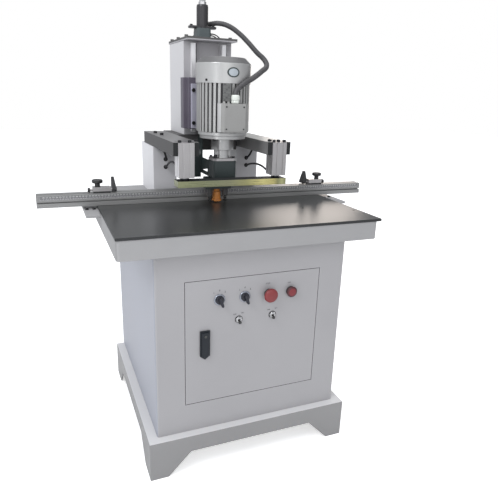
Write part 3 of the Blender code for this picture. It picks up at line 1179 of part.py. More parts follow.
# Gearbox: upper box with the drive gears, lower housing with the three spindles
def make_gearbox():
    box = shape_object("gearbox_body", prism(rounded(
        -GEARBOX_HALF, GEARBOX_HALF, GEARBOX_FRONT, GEARBOX_BACK, GEARBOX_CORNER), 2,
        GEARBOX_BOTTOM, GEARBOX_TOP), HEAD, GEARBOX_PAINT)
    inner = GEARBOX_WALL
    cut(box, prism(rounded(-GEARBOX_HALF + inner, GEARBOX_HALF - inner, GEARBOX_FRONT + inner,
                           GEARBOX_BACK - inner, GEARBOX_CORNER - inner), 2,
                   GEARBOX_BOTTOM + inner, GEARBOX_TOP + OVER), HEAD)
    cut(box, rod((SPINDLE_X, SPINDLE_Y, 0), SPINDLE_RADIUS + RUN, GEARBOX_BOTTOM - OVER,
                 GEARBOX_BOTTOM + inner + OVER, 12), HEAD)
    cover_bottom = GEARBOX_TOP + GAP
    cover = shape_object("gearbox_cover", prism(clipped(
        -GEARBOX_HALF, GEARBOX_HALF, GEARBOX_FRONT, GEARBOX_BACK, GEARBOX_CORNER), 2,
        cover_bottom, COVER_TOP), HEAD, ALUMINIUM)
    cut(cover, rod((0, MOTOR_Y, 0), SHAFT_RADIUS + RUN / 2, cover_bottom - OVER, COVER_TOP + OVER, 20), HEAD)
    inset = GEARBOX_CORNER / 2 + COVER_BOLT_RADIUS
    for x in (-GEARBOX_HALF + inset, GEARBOX_HALF - inset):
        for y in (GEARBOX_FRONT + inset, GEARBOX_BACK - inset):
            if math.hypot(x, y - MOTOR_Y) > NECK_LOW_RADIUS + COVER_BOLT_RADIUS:
                add(cover, rod((x, y, 0), COVER_BOLT_RADIUS, COVER_TOP - OVER,
                               COVER_TOP + COVER_BOLT_HEIGHT, 8), HEAD)
    left = SPINDLE_X - SIDE_SPINDLE_STEP - HOUSING_MARGIN
    right = SPINDLE_X + SIDE_SPINDLE_STEP + HOUSING_MARGIN
    front = SIDE_SPINDLE_Y - HOUSING_MARGIN
    back = SPINDLE_Y + HOUSING_MARGIN
    housing = shape_object("spindle_housing", prism(
        rounded(left, right, front, back, GEARBOX_CORNER), 2, HOUSING_BOTTOM, HOUSING_TOP), HEAD, GEARBOX_PAINT)
    wall = HOUSING_WALL
    cut(housing, prism(rounded(left + wall, right - wall, front + wall, back - wall, GEARBOX_CORNER - wall), 2,
                       HOUSING_BOTTOM + wall, HOUSING_TOP - wall), HEAD)
    for side, (x, y, z) in SPINDLE_PLACES.items():
        cut(housing, rod((x, y, 0), SPINDLE_RADIUS + RUN, HOUSING_BOTTOM - OVER, HOUSING_BOTTOM + wall + OVER, 12),
            HEAD)
    cut(housing, rod((SPINDLE_X, SPINDLE_Y, 0), SPINDLE_RADIUS + RUN, HOUSING_TOP - wall - OVER,
                     HOUSING_TOP + OVER, 12), HEAD)


def make_bracket():
    """Two webs hang from the carriage and hold the gearbox's back."""
    front = GEARBOX_BACK + GAP
    top = CARRIAGE_BOTTOM - GAP
    outline = ((front, WEB_BOTTOM_Z), (WEB_BACK, WEB_BOTTOM_Z), (WEB_BACK, top), (WEB_SPINE_FRONT, top),
               (WEB_SPINE_FRONT, WEB_TOP_Z), (front, WEB_TOP_Z))
    low, high = -WEB_OUTER, -WEB_OUTER + WEB_THICKNESS
    bracket = shape_object("gearbox_bracket", prism(outline, 0, low, high), HEAD, GEARBOX_PAINT)
    add(bracket, prism(outline, 0, -high, -low), HEAD)
    add(bracket, block((-WEB_OUTER, WEB_HEAD_FRONT, top - WEB_HEAD_THICKNESS), (WEB_OUTER, WEB_BACK, top)), HEAD)
    rim = GEARBOX_WALL / 2
    window = ((front + rim, WINDOW_BOTTOM_Z), (WINDOW_BACK, WINDOW_BOTTOM_Z), (front + rim, WINDOW_TOP_Z))
    cut(bracket, prism(window, 0, -WEB_OUTER - OVER, WEB_OUTER + OVER), HEAD)


def make_spindles():
    wall_top = HOUSING_TOP - HOUSING_WALL
    for side, (x, y, z) in SPINDLE_PLACES.items():
        body = SPINDLES[side]
        centre = side == "centre"
        top = DRIVE_GEAR_Z + DRIVE_GEAR_HEIGHT if centre else wall_top - RUN
        chuck_radius = CHUCK_RADIUS if centre else SIDE_CHUCK_RADIUS
        chuck_low = CHUCK_BOTTOM if centre else SIDE_CHUCK_BOTTOM
        chuck_high = HOUSING_BOTTOM - GAP
        spindle = shape_object("spindle_" + side, turned((
            (0, chuck_low), (chuck_radius * 0.9, chuck_low), (chuck_radius, chuck_low + OVER),
            (chuck_radius, chuck_high), (SPINDLE_RADIUS, chuck_high), (SPINDLE_RADIUS, top), (0, top)),
            (x, y, 0), 16), body, DARK_STEEL if not centre else STEEL)
        phase = spur_phase(side)
        add(spindle, prism(gear_outline(SPUR_PITCH_RADIUS, SPUR_TEETH, (x, y), phase), 2,
                           SPUR_GEAR_Z, SPUR_GEAR_Z + SPUR_GEAR_HEIGHT), body)
        if centre:
            drive = drive_mesh_angle() + math.pi + math.pi / DRIVE_TEETH
            add(spindle, prism(gear_outline(DRIVE_PITCH_RADIUS, DRIVE_TEETH, (x, y), drive), 2,
                               DRIVE_GEAR_Z, DRIVE_GEAR_Z + DRIVE_GEAR_HEIGHT), body)
        make_bit(side, x, y, chuck_low - GAP, body)


def spur_phase(side):
    """Side gears sit half a tooth off where they meet the centre gear."""
    towards_left = math.atan2(-SIDE_SPINDLE_FORWARD, -SIDE_SPINDLE_STEP)
    if side == "centre":
        return towards_left
    if side == "left":
        return towards_left + math.pi + math.pi / SPUR_TEETH
    towards_right = math.atan2(-SIDE_SPINDLE_FORWARD, SIDE_SPINDLE_STEP)
    pitch = 2 * math.pi / SPUR_TEETH
    shift = (towards_right - towards_left) % pitch
    return towards_right + math.pi + shift + math.pi / SPUR_TEETH


def make_bit(side, x, y, top, body):
    if side == "centre":
        step = BIT_TIP_Z + BIT_HEAD_HEIGHT
        bit = shape_object("hinge_bit", turned((
            (0, BIT_TIP_Z - BIT_POINT_LENGTH), (BIT_POINT_RADIUS, BIT_TIP_Z), (BIT_HEAD_RADIUS, BIT_TIP_Z),
            (BIT_HEAD_RADIUS, step), (BIT_BODY_RADIUS, step + OVER), (BIT_BODY_RADIUS, top), (0, top)),
            (x, y, 0), 24), body, ORANGE)
        smooth(bit)
        return
    levels = 12
    sections = 8

    def build(work):
        rings = []
        for level in range(levels + 1):
            share = level / levels
            z = BIT_TIP_Z + share * (top - BIT_TIP_Z)
            twist = 2 * math.pi * DOWEL_BIT_TURNS * share
            layer = []
            for section in range(sections):
                angle = 2 * math.pi * section / sections
                flute = DOWEL_BIT_FLUTE if section % (sections // 2) == 0 else 0
                radius = DOWEL_BIT_RADIUS - flute
                layer.append(work.verts.new((x + radius * math.cos(angle + twist),
                                             y + radius * math.sin(angle + twist), z)))
            rings.append(layer)
        for lower, upper in zip(rings, rings[1:]):
            for section in range(sections):
                after = (section + 1) % sections
                work.faces.new((lower[section], lower[after], upper[after], upper[section]))
        work.faces.new(rings[-1])
        tip = work.verts.new((x, y, BIT_TIP_Z - BIT_POINT_LENGTH))
        for section in range(sections):
            work.faces.new((rings[0][(section + 1) % sections], rings[0][section], tip))

    shape_object("dowel_bit_" + side, build, body, DARK_STEEL)


# Feed cylinder on the column, its rod moves with the carriage
def make_feed():
    axis = (0, FEED_Y, 0)
    feed_block = shape_object("feed_cylinder_block", prism(clipped(
        -FEED_BLOCK_HALF, FEED_BLOCK_HALF, FEED_Y - FEED_BLOCK_HALF, FEED_Y + FEED_BLOCK_HALF,
        FEED_BLOCK_CHAMFER), 2, FEED_BLOCK_BOTTOM, FEED_BLOCK_TOP), material=DARK_STEEL)
    cut(feed_block, rod(axis, FEED_ROD_RADIUS + GAP, FEED_BLOCK_BOTTOM - OVER, FEED_BLOCK_TOP + OVER, 16))
    profile = ((SLEEVE_BORE, WING_BOTTOM), (SLEEVE_RADIUS, WING_BOTTOM), (SLEEVE_RADIUS, SLEEVE_TOP - SLEEVE_EDGE),
               (SLEEVE_RADIUS - SLEEVE_EDGE, SLEEVE_TOP), (FEED_ROD_TOP_RADIUS + GAP, SLEEVE_TOP),
               (FEED_ROD_TOP_RADIUS + GAP, SLEEVE_TOP - SLEEVE_CAP), (SLEEVE_BORE, SLEEVE_TOP - SLEEVE_CAP))
    sleeve = shape_object("feed_cylinder_sleeve", turned(profile, axis, 20), material=BLACK)
    wings = rounded(-WING_HALF, WING_HALF, FEED_Y - WING_HALF_DEPTH, FEED_Y + WING_HALF_DEPTH, WING_HALF_DEPTH * 0.6)
    add(sleeve, prism(wings, 2, WING_BOTTOM, WING_TOP))
    cut(sleeve, rod(axis, SLEEVE_BORE, WING_BOTTOM - OVER, SLEEVE_TOP - SLEEVE_CAP, 20))
    smooth(sleeve)
    piston_low = WING_BOTTOM + RUN
    piston_high = piston_low + FEED_PISTON_THICKNESS
    lug_top = LUG_BOTTOM + LUG_HEIGHT
    thin = FEED_ROD_TOP_RADIUS
    nut_low = SLEEVE_TOP + GAP
    feed_rod = shape_object("feed_rod", turned((
        (0, LUG_BOTTOM - OVER), (thin, LUG_BOTTOM - OVER), (thin, lug_top + GAP), (FEED_ROD_RADIUS, lug_top + GAP),
        (FEED_ROD_RADIUS, piston_low), (SLEEVE_BORE - GAP, piston_low), (SLEEVE_BORE - GAP, piston_high),
        (thin, piston_high), (thin, FEED_ROD_TOP), (0, FEED_ROD_TOP)), axis, 16), HEAD, STEEL)
    nut_mid = nut_low + NUT_HEIGHT
    add(feed_rod, turned(((0, nut_low), (NUT_RADIUS, nut_low), (NUT_RADIUS, nut_mid), (NUT_UPPER_RADIUS, nut_mid),
                          (NUT_UPPER_RADIUS, nut_mid + NUT_HEIGHT), (0, nut_mid + NUT_HEIGHT)), axis, 6), HEAD)
    add(feed_rod, rod(axis, NUT_UPPER_RADIUS, LUG_BOTTOM - GAP - NUT_HEIGHT, LUG_BOTTOM - GAP, 6), HEAD)


# Hoses
def smooth_path(points, count):
    """Points evenly spaced on a smooth curve through the given route."""
    dense = []
    padded = [points[0] * 2 - points[1]] + points + [points[-1] * 2 - points[-2]]
    for index in range(len(points) - 1):
        p0, p1, p2, p3 = padded[index:index + 4]
        for step in range(40):
            t = step / 40
            dense.append(0.5 * ((2 * p1) + (p2 - p0) * t + (2 * p0 - 5 * p1 + 4 * p2 - p3) * t * t
                                + (3 * p1 - p0 - 3 * p2 + p3) * t * t * t))
    dense.append(points[-1])
    lengths = [0.0]
    for before, after in zip(dense, dense[1:]):
        lengths.append(lengths[-1] + (after - before).length)
    places = []
    index = 0
    for step in range(count):
        target = lengths[-1] * step / (count - 1)
        while index < len(lengths) - 2 and lengths[index + 1] < target:
            index += 1
        span = max(lengths[index + 1] - lengths[index], GAP / 100)
        places.append(dense[index].lerp(dense[index + 1], (target - lengths[index]) / span))
    return places, lengths[-1]


# The motor hose's route, chosen by hand, from the top plate to the motor's gland
HOSE_ROUTE = ((0.0000, 0.6440, 1.3640), (0.0000, 0.6440, 1.3740), (0.0005, 0.6435, 1.3840), (0.0085, 0.6330, 1.3970),
              (0.0240, 0.6120, 1.4050), (0.0411, 0.5880, 1.4075), (0.0580, 0.5500, 1.4070), (0.0798, 0.5050, 1.3952),
              (0.1028, 0.4620, 1.3698), (0.1229, 0.4250, 1.3394), (0.1421, 0.3880, 1.3053), (0.1570, 0.3520, 1.2790),
              (0.1500, 0.3180, 1.2575), (0.1204, 0.2880, 1.2400), (0.0767, 0.2560, 1.2165), (0.0370, 0.2322, 1.1985),
              (0.0180, 0.2265, 1.1850), (0.0085, 0.2247, 1.1760), (0.0060, 0.2245, 1.1700), (0.0060, 0.2245, 1.1640))


def tube_mesh(path, radii, sides):
    """A closed tube along a path, with one radius for each point."""
    def build(work):
        rings = []
        up = Vector((1, 0, 0))
        for index, point in enumerate(path):
            before = path[max(index - 1, 0)]
            after = path[min(index + 1, len(path) - 1)]
            along = (after - before).normalized()
            up = (up - along * up.dot(along)).normalized()
            side = along.cross(up)
            layer = []
            for step in range(sides):
                angle = 2 * math.pi * step / sides
                layer.append(work.verts.new(point + (up * math.cos(angle) + side * math.sin(angle)) * radii[index]))
            rings.append(layer)
        for lower, upper in zip(rings, rings[1:]):
            for step in range(sides):
                after = (step + 1) % sides
                work.faces.new((lower[step], lower[after], upper[after], upper[step]))
        work.faces.new(rings[0])
        work.faces.new(rings[-1])
    return build


def make_motor_hose():
    route = [Vector(point) for point in HOSE_ROUTE]
    length = smooth_path(route, 10)[1]
    count = int(length / HOSE_RIB_PITCH) * 2 + 1
    path, length = smooth_path(route, count)
    radii = []
    for index in range(count):
        from_end = min(index, count - 1 - index) * length / (count - 1)
        ribbed = from_end > 2 * HOSE_RADIUS and index % 2 == 1
        radii.append(HOSE_RADIUS if ribbed or from_end <= 2 * HOSE_RADIUS else HOSE_RADIUS - HOSE_RIB)
    hose = shape_object("motor_hose", tube_mesh(path, radii, 8), material=RUBBER)
    bore_path = smooth_path(route, int(length / HOSE_BORE_PITCH))[0]
    bore_path[0] = bore_path[0] - Vector((0, 0, OVER))
    bore_path[-1] = bore_path[-1] - Vector((0, 0, OVER))
    cut(hose, tube_mesh(bore_path, [HOSE_BORE] * len(bore_path), 8))
    print("motor hose: length {:.3f} m, {} ribs".format(length, count // 2))


def make_air_tubes():
    for name, side in SIDES:
        start = Vector((side * TUBE_HOLE_X, PEDESTAL_FRONT + PEDESTAL_WALL, TUBE_HOLE_LOW_Z))
        port = Vector((side * (CYLINDER_X + (CYLINDER_HALF / 2 if side < 0 else -CYLINDER_HALF / 2)),
                       CYLINDER_BACK + GAP, TUBE_HOLE_HIGH_Z))
        span = start.y - port.y
        route = [start, start - Vector((0, span * 0.10, 0)), start.lerp(port, 0.3) + Vector((0, 0, span * 0.05)),
                 start.lerp(port, 0.55) + Vector((0, 0, span * 0.06)),
                 start.lerp(port, 0.8) + Vector((0, 0, span * 0.02)), port + Vector((0, span * 0.06, 0)), port]
        path, length = smooth_path(route, int(span / AIR_TUBE_STEP))
        tube = shape_object("air_tube_" + name, tube_mesh(path, [AIR_TUBE_RADIUS] * len(path), 8), material=BLACK)
        smooth(tube)
        print("air tube {}: length {:.3f} m".format(name, length))


# Panel with contactors and air valves on the cabinet's back wall
def make_panel():
    back = CABINET_DEPTH - CABINET_SHEET - GAP
    plate_back = back - PANEL_STANDOFF
    plate_front = plate_back - PANEL_THICKNESS
    panel = shape_object("equipment_panel", block(
        (-PANEL_HALF, plate_front, PANEL_BOTTOM), (PANEL_HALF, plate_back, PANEL_TOP)), material=STEEL)
    for x in (-PANEL_HALF + PANEL_STANDOFF, PANEL_HALF - PANEL_STANDOFF):
        for z in (PANEL_BOTTOM + PANEL_STANDOFF, PANEL_TOP - PANEL_STANDOFF):
            add(panel, rod((x, 0, z), STANDOFF_RADIUS, plate_back - OVER / 2, back, 8, 1))
    for count, pitch, size, z in ((CONTACTOR_COUNT, CONTACTOR_PITCH, CONTACTOR_SIZE, CONTACTOR_Z),
                                  (VALVE_COUNT, VALVE_PITCH, VALVE_SIZE, VALVE_Z)):
        for index in range(count):
            x = (index - (count - 1) / 2) * pitch
            add(panel, block((x - size[0] / 2, plate_front - size[1], z - size[2] / 2),
                             (x + size[0] / 2, plate_front + OVER, z + size[2] / 2)))


make_plinth()
make_cabinet()
make_door()
make_switch_block()
make_selectors()
make_buttons()
make_toggles()
make_lock()
make_table()
make_fence()
make_stops()
make_portal()
make_press()
make_column()
make_carriage()
make_motor()
make_rotor()
make_gearbox()
make_bracket()
make_spindles()
make_feed()
make_motor_hose()
make_air_tubes()
make_panel()
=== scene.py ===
import math

import bmesh
import bpy
from mathutils import Matrix, Vector


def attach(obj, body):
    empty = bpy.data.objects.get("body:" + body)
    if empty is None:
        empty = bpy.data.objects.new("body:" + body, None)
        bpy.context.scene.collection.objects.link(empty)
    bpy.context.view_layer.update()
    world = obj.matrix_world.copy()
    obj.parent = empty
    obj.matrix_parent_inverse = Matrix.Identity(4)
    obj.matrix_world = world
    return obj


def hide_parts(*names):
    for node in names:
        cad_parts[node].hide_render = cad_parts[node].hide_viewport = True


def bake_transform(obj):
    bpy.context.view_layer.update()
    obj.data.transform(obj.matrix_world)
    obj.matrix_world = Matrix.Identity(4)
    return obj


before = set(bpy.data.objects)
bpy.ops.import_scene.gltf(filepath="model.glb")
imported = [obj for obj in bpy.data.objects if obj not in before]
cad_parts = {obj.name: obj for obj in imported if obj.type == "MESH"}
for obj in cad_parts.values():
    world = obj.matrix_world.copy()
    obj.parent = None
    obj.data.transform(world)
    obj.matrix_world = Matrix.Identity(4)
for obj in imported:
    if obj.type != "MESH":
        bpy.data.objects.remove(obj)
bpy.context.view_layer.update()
print("frame loaded,", len(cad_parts), "nodes")

# Places are measured from the cabinet's front plane; the frame is measured from the machine's middle
frontToCentre = 0.34185
scene = bpy.context.scene

# The photographer's place and lens
cameraPlace = {
    "location": (-0.57505, -1.65076, 1.16730),
    "turn": 0.397725,      # to the right of straight ahead
    "tilt": 0.302168,      # downwards
    "roll": 0.033267,
    "lens": 35.964,
}

forward = Vector((math.sin(cameraPlace["turn"]) * math.cos(cameraPlace["tilt"]),
                  math.cos(cameraPlace["turn"]) * math.cos(cameraPlace["tilt"]),
                  -math.sin(cameraPlace["tilt"])))
level = Vector((math.cos(cameraPlace["turn"]), -math.sin(cameraPlace["turn"]), 0))
upright = level.cross(forward)
rightward = level * math.cos(cameraPlace["roll"]) + upright * math.sin(cameraPlace["roll"])
upward = upright * math.cos(cameraPlace["roll"]) - level * math.sin(cameraPlace["roll"])
lens = bpy.data.cameras.new("camera")
lens.lens = cameraPlace["lens"]
lens.sensor_width = 36
lens.clip_start = 0.05
camera = bpy.data.objects.new("camera", lens)
scene.collection.objects.link(camera)
facing = Matrix((rightward, upward, -forward)).transposed().to_4x4()
facing.translation = Vector(cameraPlace["location"])
camera.matrix_world = facing
scene.camera = camera


# Shapes: each function gives a bmesh, and joined() puts several into one
def joined(*shapes):
    whole = bmesh.new()
    for shape in shapes:
        carrier = bpy.data.meshes.new("carrier")
        shape.to_mesh(carrier)
        shape.free()
        whole.from_mesh(carrier)
        bpy.data.meshes.remove(carrier)
    return whole


def painted(shape, index):
    for face in shape.faces:
        face.material_index = index
    return shape


def moved(shape, matrix):
    bmesh.ops.transform(shape, matrix=matrix, verts=shape.verts)
    return shape


def easeEdges(shape, size, steps=2, limit=35):
    sharp = [edge for edge in shape.edges
             if len(edge.link_faces) == 2 and edge.calc_face_angle(0) > math.radians(limit)]
    bmesh.ops.bevel(shape, geom=sharp, offset=size, segments=steps, profile=0.5,
                    affect="EDGES", material=-1, clamp_overlap=True)
    return shape


def boxShape(low, high, edge=0.001, steps=2):
    shape = bmesh.new()
    size = [high[i] - low[i] for i in range(3)]
    middle = [(high[i] + low[i]) / 2 for i in range(3)]
    bmesh.ops.create_cube(shape, size=1, matrix=Matrix.Translation(middle) @ Matrix.Diagonal((*size, 1)))
    return easeEdges(shape, edge, steps) if edge else shape


def turnAxis(axis):
    if axis == "Y":
        return Matrix.Rotation(-math.pi / 2, 4, "X")
    if axis == "-Y":
        return Matrix.Rotation(math.pi / 2, 4, "X")
    if axis == "X":
        return Matrix.Rotation(math.pi / 2, 4, "Y")
    if axis == "-X":
        return Matrix.Rotation(-math.pi / 2, 4, "Y")
    if axis == "-Z":
        return Matrix.Rotation(math.pi, 4, "X")
    return Matrix.Identity(4)


# A profile of (radius, height) turned about an axis; closed rings for hollow pieces
def turnedShape(profile, place, steps=48, axis="Z", hollow=False):
    shape = bmesh.new()
    corners = [shape.verts.new((radius, 0, height)) for radius, height in profile]
    for before, after in zip(corners, corners[1:]):
        shape.edges.new((before, after))
    if hollow:
        shape.edges.new((corners[-1], corners[0]))
    bmesh.ops.spin(shape, geom=shape.verts[:] + shape.edges[:], cent=(0, 0, 0), axis=(0, 0, 1),
                   angle=2 * math.pi, steps=steps, use_merge=True)
    bmesh.ops.remove_doubles(shape, verts=shape.verts, dist=1e-6)
    bmesh.ops.recalc_face_normals(shape, faces=shape.faces)
    return moved(shape, Matrix.Translation(place) @ turnAxis(axis))


# A rod whose rims are rounded
def rodShape(place, radius, length, rim=0.0005, steps=32, axis="Z"):
    profile = [(0, 0), (radius - rim, 0), (radius - rim * 0.3, rim * 0.3), (radius, rim),
               (radius, length - rim), (radius - rim * 0.3, length - rim * 0.3), (radius - rim, length), (0, length)]
    return turnedShape(profile, place, steps, axis)


def hexShape(place, radius, length, edge=0.0006, axis="Z", sides=6, turn=0.0):
    shape = bmesh.new()
    bmesh.ops.create_cone(shape, cap_ends=True, segments=sides, radius1=radius, radius2=radius, depth=length,
                          matrix=Matrix.Translation((0, 0, length / 2)) @ Matrix.Rotation(turn, 4, "Z"))
    easeEdges(shape, edge, 2)
    return moved(shape, Matrix.Translation(place) @ turnAxis(axis))


# A socket head screw that stands on its place
def screwShape(place, radius, height, axis="Z", steps=20):
    shape = bmesh.new()
    bmesh.ops.create_cone(shape, cap_ends=True, segments=steps, radius1=radius, radius2=radius, depth=height,
                          matrix=Matrix.Translation((0, 0, height / 2)))
    easeEdges(shape, radius * 0.12, 2, 60)
    top = max(shape.faces, key=lambda face: face.calc_center_median().z)
    bmesh.ops.inset_region(shape, faces=[top], thickness=radius * 0.42)
    for vert in top.verts:
        around = math.atan2(vert.co.y, vert.co.x)
        reach = radius * 0.5 / math.cos((around % (math.pi / 3)) - math.pi / 6)
        vert.co.x = reach * math.cos(around)
        vert.co.y = reach * math.sin(around)
    sunk = bmesh.ops.extrude_face_region(shape, geom=[top])
    inner = [item for item in sunk["geom"] if isinstance(item, bmesh.types.BMVert)]
    bmesh.ops.translate(shape, verts=inner, vec=(0, 0, -height * 0.5))
    bmesh.ops.delete(shape, geom=[top], context="FACES_ONLY") if top.is_valid else None
    return moved(shape, Matrix.Translation(place) @ turnAxis(axis))


# A flat outline pulled along Z, then turned to its axis
def plateShape(outline, low, high, edge=0.001, axis="Z", steps=2):
    shape = bmesh.new()
    face = shape.faces.new([shape.verts.new((x, y, low)) for x, y in outline])
    pulled = bmesh.ops.extrude_face_region(shape, geom=[face])
    top = [item for item in pulled["geom"] if isinstance(item, bmesh.types.BMVert)]
    bmesh.ops.translate(shape, verts=top, vec=(0, 0, high - low))
    bmesh.ops.recalc_face_normals(shape, faces=shape.faces)
    if edge:
        easeEdges(shape, edge, steps)
    return moved(shape, turnAxis(axis))


def roundedOutline(halfWidth, halfDepth, radius, steps=5, centre=(0, 0)):
    points = []
    for quarter in range(4):
        cornerX = (halfWidth - radius) * (1 if quarter in (0, 3) else -1)
        cornerY = (halfDepth - radius) * (1 if quarter in (0, 1) else -1)
        for step in range(steps + 1):
            angle = math.pi / 2 * (quarter + step / steps)
            points.append((centre[0] + cornerX + radius * math.cos(angle),
                           centre[1] + cornerY + radius * math.sin(angle)))
    return points


# The CAD solid again, first plain and then with its edges broken as on the real piece
def plainNode(node):
    shape = bmesh.new()
    shape.from_mesh(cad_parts[node].data)
    bmesh.ops.remove_doubles(shape, verts=shape.verts, dist=1e-6)
    bmesh.ops.dissolve_limit(shape, angle_limit=math.radians(1), verts=shape.verts, edges=shape.edges)
    return moved(shape, Matrix.Translation((0, frontToCentre, 0)))


def easedNode(node, edge=0.0008, steps=2, limit=35):
    return easeEdges(plainNode(node), edge, steps, limit)


# Faces that look in one of the directions take the finish of that number; the script gives such faces lighter and
# darker copies of a finish, painted light and painted shade on sides that light falls on or turns from
def facingPaint(shape, *directions):
    for face in shape.faces:
        face.material_index = 0
        for index, direction in enumerate(directions, 1):
            if face.normal.dot(Vector(direction)) > 0.8:
                face.material_index = index
    return shape


# Bends a flat print that faces the front round an upright drum
def wrapRound(shape, radius):
    for vert in shape.verts:
        angle = vert.co.x / radius
        reach = radius - vert.co.y
        vert.co.x = reach * math.sin(angle)
        vert.co.y = -reach * math.cos(angle)
    return shape


# A round tube along a smooth route
def tubeShape(route, radius, sides=16, spread=12, ribs=None):
    line = bpy.data.curves.new("line", "CURVE")
    line.dimensions = "3D"
    guide = line.splines.new("BEZIER")
    guide.bezier_points.add(len(route) - 1)
    for point, place in zip(guide.bezier_points, route):
        point.co = place
        point.handle_left_type = point.handle_right_type = "AUTO"
    guide.resolution_u = spread
    holder = bpy.data.objects.new("holder", line)
    scene.collection.objects.link(holder)
    if ribs:
        line.bevel_depth = 0
        bpy.context.view_layer.update()
        path = [vert.co.copy() for vert in holder.to_mesh().vertices]
        holder.to_mesh_clear()
        spots = evenSpots(path, ribs["pitch"] / 2)
        line.splines.clear()
        tube = line.splines.new("POLY")
        tube.points.add(len(spots) - 1)
        for index, spot in enumerate(spots):
            tube.points[index].co = (*spot, 1)
            fromEnd = min(index, len(spots) - 1 - index) * ribs["pitch"] / 2
            low = index % 2 == 0 and fromEnd > ribs["smoothEnd"]
            tube.points[index].radius = (radius - ribs["depth"]) / radius if low else 1.0
    line.bevel_depth = radius
    line.bevel_resolution = sides // 4
    line.use_fill_caps = True
    bpy.context.view_layer.update()
    shape = bmesh.new()
    shape.from_mesh(holder.to_mesh())
    holder.to_mesh_clear()
    bpy.data.objects.remove(holder)
    bmesh.ops.remove_doubles(shape, verts=shape.verts, dist=1e-6)
    bmesh.ops.recalc_face_normals(shape, faces=shape.faces)
    return shape


def evenSpots(path, gap):
    total = sum((after - before).length for before, after in zip(path, path[1:]))
    count = round(total / gap)
    spots = [path[0]]
    walked = 0.0
    target = total / count
    for before, after in zip(path, path[1:]):
        stretch = (after - before).length
        while stretch and walked + stretch >= target * len(spots) - 1e-9 and len(spots) < count:
            spots.append(before.lerp(after, (target * len(spots) - walked) / stretch))
        walked += stretch
    spots.append(path[-1])
    return spots


def wordShape(text, size, place, axis="-Y", depth=0.0002):
    letters = bpy.data.curves.new("letters", "FONT")
    letters.body = text
    letters.size = size
    letters.align_x = "CENTER"
    letters.align_y = "CENTER"
    letters.extrude = depth
    letters.resolution_u = 2
    holder = bpy.data.objects.new("holder", letters)
    scene.collection.objects.link(holder)
    bpy.context.view_layer.update()
    shape = bmesh.new()
    shape.from_mesh(holder.to_mesh())
    holder.to_mesh_clear()
    bpy.data.objects.remove(holder)
    bmesh.ops.remove_doubles(shape, verts=shape.verts, dist=1e-7)
    bmesh.ops.recalc_face_normals(shape, faces=shape.faces)
    return moved(shape, Matrix.Translation(place) @ turnAxis(axis))


# Makes the object: its place is in its mesh, and it moves with a body of the machine
def finishPiece(name, shape, finishes, body, stands=(), smoothBelow=50, level=True):
    bmesh.ops.translate(shape, verts=shape.verts, vec=(0, -frontToCentre, 0))
    mesh = bpy.data.meshes.new(name)
    shape.to_mesh(mesh)
    shape.free()
    for finish in finishes if isinstance(finishes, (list, tuple)) else [finishes]:
        mesh.materials.append(finish)
    mesh.shade_smooth()
    mesh.set_sharp_from_angle(angle=math.radians(smoothBelow))
    piece = bpy.data.objects.new(name, mesh)
    scene.collection.objects.link(piece)
    if level:
        flats = piece.modifiers.new("levelFlats", "WEIGHTED_NORMAL")
        flats.keep_sharp = True
    if body:
        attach(piece, body)
    if stands:
        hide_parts(*stands)
    return piece


# Shader groups that several finishes share
def makeGroup(name, inputs, outputs):
    group = bpy.data.node_groups.new(name, "ShaderNodeTree")
    for label, kind, value in inputs:
        socket = group.interface.new_socket(label, in_out="INPUT", socket_type=kind)
        if value is not None:
            socket.default_value = value
    for label, kind in outputs:
        group.interface.new_socket(label, in_out="OUTPUT", socket_type=kind)
    return group, group.nodes.new("NodeGroupInput"), group.nodes.new("NodeGroupOutput")


# Soft clouds and a fine skin of small bumps, for paint, castings and plastic
def makeSkinGroup():
    group, given, result = makeGroup(
        "paintSkin",
        [("Vector", "NodeSocketVector", None), ("Cloud Scale", "NodeSocketFloat", 6.0),
         ("Skin Scale", "NodeSocketFloat", 900.0), ("Cloud Share", "NodeSocketFloat", 0.7)],
        [("Shade", "NodeSocketFloat"), ("Height", "NodeSocketFloat")])
    clouds = group.nodes.new("ShaderNodeTexNoise")
    clouds.inputs["Detail"].default_value = 4
    skin = group.nodes.new("ShaderNodeTexNoise")
    skin.inputs["Detail"].default_value = 2
    blend = group.nodes.new("ShaderNodeMix")
    group.links.new(given.outputs["Vector"], clouds.inputs["Vector"])
    group.links.new(given.outputs["Vector"], skin.inputs["Vector"])
    group.links.new(given.outputs["Cloud Scale"], clouds.inputs["Scale"])
    group.links.new(given.outputs["Skin Scale"], skin.inputs["Scale"])
    group.links.new(given.outputs["Cloud Share"], blend.inputs["Factor"])
    group.links.new(skin.outputs["Fac"], blend.inputs["A"])
    group.links.new(clouds.outputs["Fac"], blend.inputs["B"])
    group.links.new(blend.outputs["Result"], result.inputs["Shade"])
    group.links.new(skin.outputs["Fac"], result.inputs["Height"])
    return group


